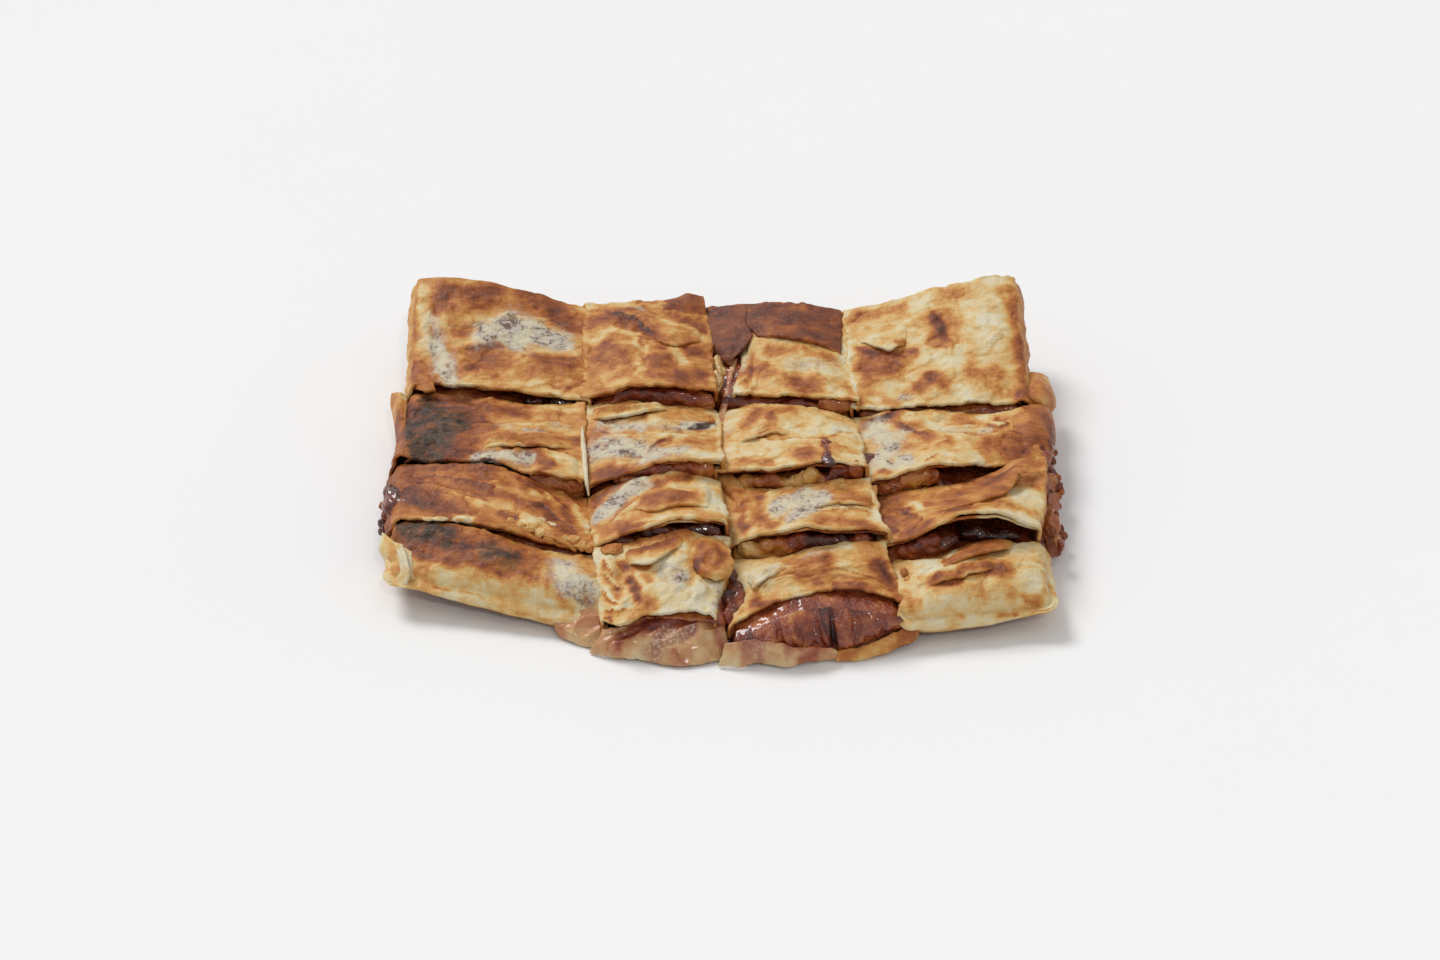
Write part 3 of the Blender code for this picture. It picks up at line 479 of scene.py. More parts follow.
STAINED = {
    "a1": (
        (-80, 64, -68, 63, 3.9, 1), (-72, 71, -67, 68, 3.2, 1), (-64, 66, -52, 64, 3.5, 1),
        (-95, 55, -90, 41, 3.5, 0.9), (-98, 69, -95, 58, 2.9, 0.6),
    ),
    "a2": ((-31, 84, -25, 81, 1, 0.6),),
    "a3": ((10, 61, 5, 45, 1.6, 0.5), (23, 49, 39, 47, 2.6, 0.55)),
    "a4": ((60, 32, 63, 31, 1.6, 0.6),),
    "b1": (
        (-73, 13, -67, 10, 1.9, 0.45), (-63, 9, -59, 9, 1.3, 0.6), (-57, 15, -49, 15, 1.3, 0.4),
        (-78, -8, -62, -8, 2.3, 0.95),
    ),
    "b2": (
        (-39, 15, -26, 13, 1.9, 0.7), (-25, 14, -10, 13, 1.9, 0.6), (-11, 15, -3, 19, 1.6, 1),
        (-40, 1, -27, -3, 3.5, 1), (-23, -9, -13, -6, 2.9, 1),
    ),
    "b3": ((2, 29, 3, 15, 1.9, 0.45), (6, -15, 20, -20, 1.3, 0.7)),
    "b4": (
        (50, 18, 55, 7, 4.2, 0.95), (51, -2, 60, -5, 3.2, 0.9), (57, 12, 60, 14, 1.6, 0.6),
        (73, 14, 87, 12, 1.3, 0.6),
    ),
    "c2": ((-39, -36, -25, -20, 2.9, 1),),
    "c3": ((19, -31, 31, -28, 3.9, 0.95), (22, -40, 27, -39, 2.3, 0.9), (26, -23, 30, -32, 2.6, 0.9)),
    "d1": ((-49, -65, -40, -78, 4.8, 0.95),),
    "d2": ((-17, -66, -12, -70, 2.9, 0.75), (-36, -59, -33, -65, 1.6, 0.3), (-3, -78, 1, -71, 1.3, 0.7)),
    "d3": ((13, -66, 21, -60, 1, 0.6), (24, -58, 35, -53, 1.6, 0.6)),
    "d2_film": (
        (-20, -91, -17, -85, 1.9, 0.8), (-16, -90, -9, -84, 1.6, 0.8), (-23, -89, -18, -88, 1.3, 0.5),
    ),
    "d3_film": ((7, -90, 13, -93, 1.6, 0.5), (17, -91, 21, -92, 1.3, 0.4)),
}

# A stroke is round as the camera sees it, so its depth in plan is shortened by this before it is
# measured. The film hangs down towards the camera, and its strokes are hardly changed.
TOP_SQUASH = 0.56
FILM_SQUASH = 1.1

# Flaps and curls of dough: the piece, whether it lies bound to the skin or loose, how brown (below 0 is
# wet and see-through), thickness, raggedness, whose strokes it has, and rows from back to front with x, y
# and z of points. The z of a bound flap is its height above the skin.
FLAPS = (
    ("a1", "loose", 0.55, 1.3, 0.3, "", (
        (-103.7, 50.6, 20.2, -100.4, 47, 21.6, -96.2, 44.5, 21.6),
        (-103.3, 45.2, 19.2, -99.8, 38.9, 21.9, -94.9, 36.3, 21.9),
        (-102.5, 40.9, 17.1, -98.8, 33.6, 20.8, -94.1, 33.6, 21.2),
    )),
    ("a2", "loose", 0.62, 1.1, 0.4, "", (
        (-20.1, 91, 22.4, -15.3, 91.7, 23.2, -11.1, 92.8, 24.2, -5.6, 91.9, 23.5),
        (-20, 85.8, 23.1, -14.5, 86.7, 23.4, -10.4, 88, 23.4, -4.9, 87.2, 22.3),
        (-19.3, 81.7, 22.3, -13.8, 81.6, 21.9, -9.7, 82.3, 21.1, -4.9, 83.4, 19.7),
    )),
    ("a2", "bound", 0.42, 0.9, 0.5, "a2", (
        (-27.5, 80.3, 0, -16.5, 81.9, 0.2, -5.6, 81.7, 0),
        (-25.3, 71.1, 0.5, -15.1, 70, 0.9, -4.9, 71.2, 0.6),
        (-22, 60.4, 0.8, -15.6, 57, 1.3, -4.9, 64.5, 0.9),
    )),
    ("a3", "loose", 0.76, 1.2, 0.3, "", (
        (-4.9, 90.1, 20.2, 2, 88.1, 21.7, 9.9, 85.8, 23.1),
        (-4.9, 78, 19.7, 1.9, 74.9, 22.3, 8.7, 74.4, 23.8),
        (-4.9, 67, 18.7, 2.2, 62.1, 22, 11, 66.2, 23.5),
        (-3.5, 64.9, 17.1, 1.2, 56.3, 19.9, 7.3, 58.2, 22.3),
        (0.5, 58.9, 16.8, 2.9, 53.7, 18.4, 4.2, 55.1, 19.9),
    )),
    ("a3", "loose", 0.74, 1.3, 0.5, "", (
        (7.1, 86.9, 22.4, 18.8, 85.9, 24.2, 30.1, 85.8, 23.9, 41.8, 86.1, 21.3),
        (7.4, 76.9, 23.1, 19.6, 74.2, 25.1, 31.2, 73.2, 24.5, 41.7, 71.5, 21.5),
        (12.4, 64.7, 23.6, 20.1, 62.2, 25.1, 30.8, 59.8, 24.5, 40.9, 56.3, 21.5),
    )),
    ("a4", "bound", 0.14, 0.9, 0.6, "a4_flap", (
        (44.3, 78.3, 0, 54.5, 77.6, 0.1, 65.1, 71.8, 0),
        (44.7, 71.1, 0.6, 54.7, 65.5, 1, 64.8, 65.5, 0.7),
        (45.9, 65.6, 0.8, 51.7, 57.8, 1.6, 57.6, 54.4, 2, 63.8, 59.1, 1.2),
    )),
    ("b1", "bound", 0.3, 0.9, 0.5, "b1", (
        (-81.5, 10, 0, -65.3, 12.1, 0.2, -45.9, 14.1, 0),
        (-80.4, 3.6, 0.5, -64.9, 4.4, 0.9, -45.3, 6.5, 0.8),
        (-78.8, -2, 0.8, -69.7, -1.5, 1.4, -64.5, -3.3, 1.7, -55, -0.9, 1.4, -44.7, 0.8, 1.2),
    )),
    ("b1", "bound", 0.34, 0.9, 0.6, "b1", (
        (-64.7, 0.2, 0, -54.4, -0.7, 0.2, -44.4, -0.4, 0),
        (-63.1, -7.5, 0.6, -53.4, -9.2, 1.1, -44.1, -8.4, 0.9),
        (-61.4, -15.3, 0.8, -52.3, -19.5, 1.5, -43.7, -20.6, 1.2),
    )),
    ("b2", "bound", 0.2, 1, 0.5, "b2_flap", (
        (-45.2, 31.7, 0, -31.3, 32.3, 0.2, -15.4, 35.5, 0),
        (-44.3, 25.1, 0.8, -30.4, 23, 1.4, -15.3, 28.2, 0.9),
        (-43.4, 19.3, 1.2, -36.1, 16.9, 2, -24.4, 20.2, 1.8, -16, 25.6, 1),
    )),
    ("b3", "bound", 0.2, 0.9, 0.4, "b3", (
        (2.4, 16.5, 0, 12.9, 17.3, 0.2, 24.6, 14.2, 0),
        (3.7, 9.5, 0.6, 13.5, 10.4, 1, 24.5, 9, 0.6),
        (5, 4.6, 0.8, 11.1, 4.9, 1.6, 17.3, 8.1, 1.4, 23.1, 6.1, 0.8),
    )),
    ("b4", "loose", 0.56, 1.4, 0.5, "b4_flap", (
        (96.3, 28.9, 17.1, 102.2, 28.9, 18.7, 107.8, 31.8, 16.5, 110.1, 33.1, 13),
        (95.4, 18.1, 19.2, 101.8, 17.3, 20.5, 107.7, 19.8, 18.1, 110.2, 23, 13.8),
        (94.8, 9.8, 19, 101.1, 7.7, 20.3, 107.2, 10.1, 18, 109.8, 14.4, 13.8),
        (95.2, 5.4, 18, 100.8, 3.1, 18.2, 106.2, 4.4, 16.3, 108.6, 8.1, 13.1),
    )),
    ("c1", "bound", 0.48, 0.9, 0.8, "c1", (
        (-67.7, -29.5, 0, -56.9, -32.3, 0.2, -46.1, -36.1, 0),
        (-65.5, -35.8, 0.6, -55.9, -40.1, 1, -45.2, -44.2, 0.7),
        (-63.9, -42.9, 0.8, -58.8, -46.3, 1.2, -52.4, -49.9, 1.5, -44.3, -52.6, 1),
    )),
    ("c2", "bound", 0.3, 0.9, 0.6, "c2", (
        (-27.5, -20.5, 0, -15.5, -20, 0.2, -1.5, -18.4, 0),
        (-28, -26.9, 0.6, -14.1, -27.9, 1.1, -0.8, -29.2, 0.7),
        (-28.5, -36.2, 0.7, -21.5, -41.3, 1.2, -12.7, -39.4, 1.4, -0.9, -38.8, 0.9),
    )),
    ("c3", "bound", 0.3, 0.9, 0.5, "c3", (
        (24, -19.8, 0, 37.3, -20.3, 0.2, 50, -20.2, 0),
        (25.7, -27.5, 0.6, 37.7, -27.8, 1, 49.8, -26.5, 0.8),
        (27.4, -35.3, 0.8, 34.3, -34.3, 1.3, 40.6, -34.6, 1.5, 49.4, -34.4, 1.1),
    )),
    ("c4", "loose", 0.52, 1, 0.4, "c4_band", (
        (57.8, -20.5, 13.2, 65.4, -19.8, 15.1, 73.8, -18.2, 16.3, 82, -17.4, 18.4, 89.6, -16.5, 20.9,
         95.6, -12.4, 22.8, 100.9, -9.3, 23.1),
        (57.3, -29.5, 15, 65.4, -30.2, 18.1, 73.5, -30.3, 20.4, 82.4, -28.4, 22.2, 89.5, -26, 23.3,
         95.1, -19, 22.9, 97.8, -16.2, 22.6),
        (57.6, -36.9, 15.8, 65.5, -38.5, 19.8, 73.6, -38.9, 22.7, 82.5, -35.8, 23.6, 89.4, -31.3, 23.4,
         92.6, -26.3, 23.1, 94.2, -22.5, 22.9),
    )),
    ("d1", "loose", 0.06, 1.2, 0.3, "d1_corner", (
        (-106.2, -40.6, 14.4, -103.3, -45.5, 15.5, -99.8, -50, 15.9, -95.7, -53.7, 15.8),
        (-107.3, -44.6, 11.1, -103.6, -50.4, 13.5, -99.7, -55, 14.8, -95.5, -57.9, 14.5),
        (-105.1, -49.4, 9.1, -101.9, -54.2, 10.9, -98.6, -59.3, 12.8, -95.3, -61.1, 12.6),
        (-103.7, -53, 7, -100.5, -57.5, 8.6, -97.3, -60.8, 10.1, -94.8, -61.8, 10.8),
    )),
    ("d2", "bound", 0.24, 0.9, 0.4, "d2_tongue", (
        (-31.2, -54.6, 0, -21.3, -51.9, 0.2, -8.3, -48.5, 0),
        (-31.1, -58, 0.8, -21.8, -58.7, 1.6, -9.5, -52.6, 0.8),
        (-29.2, -61.2, 1.2, -24.8, -65, 2.4, -20.8, -65.2, 2.6, -16.3, -60.1, 1.8, -10.1, -54.5, 0.6),
    )),
    ("d2", "loose", 0.5, 0.9, 0.3, "", (
        (-37.4, -53.1, 17.2, -33.7, -52.8, 18.5, -30.6, -52.6, 18.4),
        (-37.4, -55, 17.4, -33.6, -56.5, 18.8, -30.2, -56.1, 18.5),
        (-36.7, -56.4, 16.9, -33.3, -58.1, 18, -30.5, -57.2, 17.8),
    )),
    ("d2", "loose", 0.4, 1, 1.6, "d2_knob", (
        (-8.9, -53.3, 19.6, -5.8, -50.1, 20, -1.5, -50.1, 19, 2.6, -52.1, 16.9),
        (-9.8, -57.4, 19, -5.5, -57, 19.9, -0.9, -57.4, 19.4, 4.1, -57.8, 17.1),
        (-9.5, -61.6, 18.2, -4.9, -62, 18.4, -0.3, -63.4, 18.6, 5.3, -61.3, 16.8),
        (-8.8, -65.4, 17, -4.2, -67.5, 18.1, -0.3, -68.2, 17.4, 4.1, -65.1, 15.7),
        (-7.6, -67.8, 15.7, -3, -69.6, 15.4, 0.4, -68.9, 15, 2.8, -65.7, 14.3),
    )),
    ("d3", "bound", 0.12, 0.9, 0.5, "d3", (
        (5.3, -55.3, 0, 13.4, -52.9, 0.2, 21.5, -51.6, 0),
        (7.2, -63, 0.5, 14.5, -62.7, 1, 21.4, -58.6, 0.6),
        (9.5, -70.4, 0.7, 13.8, -68.2, 1.5, 18.2, -64.2, 1.4, 21.4, -60, 0.6),
    )),
    ("d4", "loose", 0.5, 1, 0.5, "", (
        (62.2, -59.5, 13.7, 70, -52.1, 13.5, 78.1, -49.8, 16.5, 87, -47.1, 16.5, 90.8, -46.9, 15.3),
        (62, -62.9, 14.2, 70.1, -59.6, 16.8, 78.1, -57.4, 19.4, 86.4, -54, 19, 91.2, -50.3, 16.4),
        (61.8, -65.9, 14, 69.3, -63.2, 17, 77.9, -60.4, 19.6, 86.2, -57.1, 19.2, 90.3, -53, 17.1),
    )),
    ("d4", "bound", 0.12, 0.9, 0.5, "d4", (
        (63.1, -64.7, 0, 74.4, -59.9, 0.3, 86.2, -57.8, 0),
        (62.9, -68.5, 0.6, 74, -66.2, 1.2, 85.9, -61.9, 0.7),
        (62.8, -70.6, 0.8, 68.5, -70.9, 1.5, 76.3, -68.7, 1.7, 85.7, -65, 1),
    )),
    ("b1", "loose", 0, 0.7, 0.2, "", (
        (-45.5, 14.3, 18.9, -44.9, 14.4, 18.8),
        (-45.4, 5.6, 19.4, -43.8, 5.8, 19.2),
        (-44.5, -7.2, 19.8, -42.7, -6.9, 19.7),
        (-43.4, -19.5, 20.9, -42, -19.3, 20.8),
        (-42.2, -23.9, 17, -41.6, -23.9, 17),
    )),
    ("a3", "loose", -0.42, 1.4, 0.3, "", (
        (3.6, 56.6, 19, 5.9, 57.9, 19),
        (2.2, 48.6, 17.5, 4.2, 48.5, 18),
        (1.2, 40.8, 16, 3.2, 40, 16.5),
        (-0.2, 32.3, 15, 2.2, 31.5, 15.5),
        (-1.8, 21.1, 15, 0.5, 19.8, 15),
    )),
    ("a3", "loose", 0.3, 0.9, 0.5, "", (
        (4.3, 56.3, 16, 8, 62.6, 18.5, 10.7, 66.3, 19.5),
        (2.5, 46.7, 14, 6.2, 52.1, 17, 10, 55.6, 19.6),
        (2.5, 41.3, 13, 5.2, 40.8, 16, 8.5, 41, 19),
    )),
    ("b1", "loose", 0.42, 1, 0.7, "b1_side", (
        (-110, 41.8, 15, -106.8, 37.4, 18.5, -104.1, 36.7, 17),
        (-110.1, 38.1, 13, -106.6, 30, 17.6, -103.6, 29.7, 17),
        (-108.3, 29.7, 10, -105.3, 21.1, 15, -103.3, 19.8, 15.4),
        (-107.1, 21.4, 7, -104.8, 12.3, 12.4, -102.8, 8.6, 14),
    )),
    ("c3", "loose", 0.4, 1.2, 0.8, "", (
        (-2.4, -5.8, 15.5, 0.4, -7.2, 16, 3.7, -9.8, 16.2, 7.5, -15, 15),
        (-1.2, -10.8, 13.8, 1.7, -15.7, 15.4, 4.9, -19.8, 15.8, 8.7, -21.4, 14.6),
        (0.4, -17.5, 12, 3.3, -22.5, 13.8, 6.4, -28.9, 15, 9.3, -29.7, 14),
        (1.7, -28.3, 10, 4.5, -33.9, 12.2, 7, -38.8, 14, 9.8, -39.3, 13.6),
        (3.6, -38.9, 8, 5.4, -43, 10, 7.3, -47.6, 12, 9.1, -46.5, 12.4),
    )),
    ("d3", "loose", -0.5, 1, 0.7, "", (
        (8.6, -40.7, 14.5, 12.9, -40.3, 15, 17.9, -42.6, 15),
        (9.8, -43.8, 13.6, 14.2, -43.6, 14.2, 20.4, -45.6, 14),
        (12.9, -47.1, 12.4, 17.9, -47.9, 12.6, 24.1, -48.8, 12.4),
    )),
    ("c4", "loose", 0.64, 1.2, 1.2, "", (
        (101.8, -4.1, 14, 107.6, 1.8, 11),
        (100.8, -12.7, 13.5, 107.8, -7, 10.5),
        (100.4, -21.7, 12.5, 108.2, -15.2, 9),
        (101.1, -30.9, 11, 108.4, -24.5, 7.5),
        (102.6, -37.8, 8, 108.5, -32.6, 6),
        (103.9, -39.4, 3, 108, -36.4, 2.5),
    )),
    ("d3", "loose", 0.42, 1.5, 0.8, "d3_rim", (
        (34.3, -89.7, 3.6, 42.2, -87.8, 4.8, 50.2, -84.5, 6.2, 56.1, -81.2, 7.2, 58.9, -79.2, 8),
        (34.3, -90.3, 1.8, 42.2, -89.4, 2.6, 50.8, -86.1, 4, 57.6, -82.6, 5.6, 60.1, -80.9, 6.6),
        (34.3, -91.1, 0.5, 42.5, -90.2, 0.6, 51.1, -87.4, 1.2, 58.9, -83.4, 2.4, 60.8, -80.9, 3.6),
    )),
    ("d3", "loose", -0.27, 0.8, 0.8, "d3_film", (
        (0.9, -89.8, 7, 7, -90.7, 8.4, 14.2, -91.7, 8.4, 20.9, -92.4, 7.8, 25.7, -92.3, 6.6,
         31.2, -91.4, 5.6, 35.5, -90.3, 4),
        (0.3, -90.9, 5.2, 7, -91.5, 6, 14.2, -92.3, 6.2, 20.9, -93.3, 5.8, 25.7, -92.7, 5, 31.2, -91.1, 4.2,
         35.5, -90.2, 2.8),
        (-0.6, -92.2, 2.8, 6.4, -92.8, 3.2, 14.9, -92.3, 3.2, 20.9, -93.8, 3.2, 25.2, -91.9, 2.6,
         31.3, -90.4, 2.2, 35.5, -90, 1.6),
        (-1.2, -93.7, 0.5, 5.2, -94.3, 0.6, 11.2, -92.3, 0.6, 20.3, -94.5, 0.7, 24.9, -92.3, 0.6,
         31.3, -90.1, 0.5, 35.5, -90.2, 0.6),
    )),
    ("d1", "loose", -0.34, 1, 0.6, "d1_film", (
        (-50.5, -73.5, 7, -44.7, -72.8, 8, -40.1, -73.2, 9, -35.1, -74.7, 8.6),
        (-51.4, -75.7, 4.8, -45.3, -76.6, 5.4, -40, -76.9, 6.4, -34.5, -78.5, 6.8),
        (-50.8, -77.4, 2.6, -45.2, -80, 3, -39.9, -80.9, 3.6, -34.1, -82.5, 4.4),
        (-49.3, -78.3, 0.6, -44.6, -81.4, 0.6, -39.9, -84, 0.6, -34, -87.1, 0.6),
    )),
    ("d2", "loose", -0.3, 1, 0.7, "d2_film", (
        (-36.2, -82.5, 7.4, -32.5, -82.8, 7.6, -28.3, -81.1, 8.6, -24, -78.8, 9.6, -17.9, -78.1, 10.2,
         -10.6, -77.5, 10.2, -4.5, -75.9, 10.2, 0, -75.7, 10),
        (-37.4, -84.4, 5.4, -32.5, -85.3, 6, -28.2, -84.1, 7, -24, -82.8, 8, -17.9, -81.9, 8.8,
         -10.6, -82.2, 9, -3.9, -80.3, 8.8, 0.7, -79, 8.6),
        (-38.6, -85.3, 3.8, -33, -87.5, 4.6, -28.2, -87.6, 5.8, -23.9, -87.1, 6.6, -17.3, -86.5, 7.6,
         -9.4, -84.5, 8.4, -2.7, -83.9, 7.6, 1.6, -82.2, 7.2),
        (-39.8, -85.7, 2.2, -33.7, -88.1, 2.8, -28.8, -88.9, 3.4, -23.9, -89.2, 4, -16, -90.1, 4.6,
         -8.1, -89.3, 4.8, -2.1, -87.5, 4.6, 2.5, -85.1, 4.4),
        (-40.5, -86.1, 0.6, -34.3, -88.7, 0.6, -29.4, -89.7, 0.6, -23.9, -90.7, 0.6, -14.8, -93.8, 0.6,
         -8.1, -93.3, 0.6, -1.5, -91.2, 0.6, 3.1, -88.7, 0.6),
    )),
    ("d1", "loose", 0.12, 0.9, 0.4, "", (
        (-102.2, -50, 17.4, -98.8, -52.6, 18),
        (-100.7, -54.1, 16.4, -97.4, -56.1, 17),
        (-99.5, -57.5, 14.6, -96.5, -59.8, 15.4),
        (-99.8, -59.7, 12, -96.1, -62.8, 13),
        (-102, -61.1, 9.6, -97.4, -64.4, 9.6),
    )),
    ("a4", "loose", 0.42, 1.6, 0.4, "", (
        (101.2, 50.4, 18, 105.9, 50.4, 18, 109.6, 52.8, 15, 111, 51.9, 12.4),
        (100.3, 39.8, 19, 106.3, 39.6, 19.5, 110.4, 43.4, 16, 112.1, 44.8, 12),
        (99.9, 33.8, 18, 105.6, 31.5, 19, 110.2, 36.1, 15.4, 112, 39.1, 11.6),
        (100.9, 35.8, 14, 105.9, 32.3, 14.6, 109.5, 34.3, 13, 110.3, 35.3, 11.6),
    )),
)

# The open front of d3, where the filling shows: rows from the lip of the skin down to the floor, as x, y
# and z.
OPEN_FRONT = (
    (4.6, -85.1, 8.5, 12.5, -84.8, 10.5, 17, -83.8, 12, 21.3, -83.1, 13.4, 25.8, -81.9, 14, 34, -81.1, 14.2,
     44.3, -82.1, 13.4, 54.8, -81.1, 10.5),
    (4.2, -87.1, 7.6, 12.4, -87.5, 9, 17.3, -87.1, 10, 22, -86.5, 11, 27.2, -85.2, 11.4, 35.2, -84.3, 11.6,
     45.2, -83.6, 11, 55.8, -81, 9),
    (3.8, -88.3, 5.9, 12.4, -89.5, 6.7, 17.5, -89.7, 7.3, 22.9, -89.2, 7.8, 28.8, -87.7, 8,
     36.4, -86.8, 8.1, 46.1, -84.3, 7.8, 56.8, -80, 6.7),
    (3.5, -87.7, 3.6, 12.5, -89.5, 3.9, 17.8, -90.2, 4.1, 23.6, -89.7, 4.3, 30, -88.2, 4.4,
     37.4, -87.2, 4.4, 46.9, -83.3, 4.3, 57.8, -77.7, 3.9),
    (3.4, -86.7, 1.8, 12.5, -88.8, 1.8, 17.9, -89.8, 1.8, 24, -89.3, 1.8, 30.7, -87.7, 1.8,
     38.1, -86.7, 1.8, 47.4, -82, 1.8, 58.4, -75.7, 1.8),
)

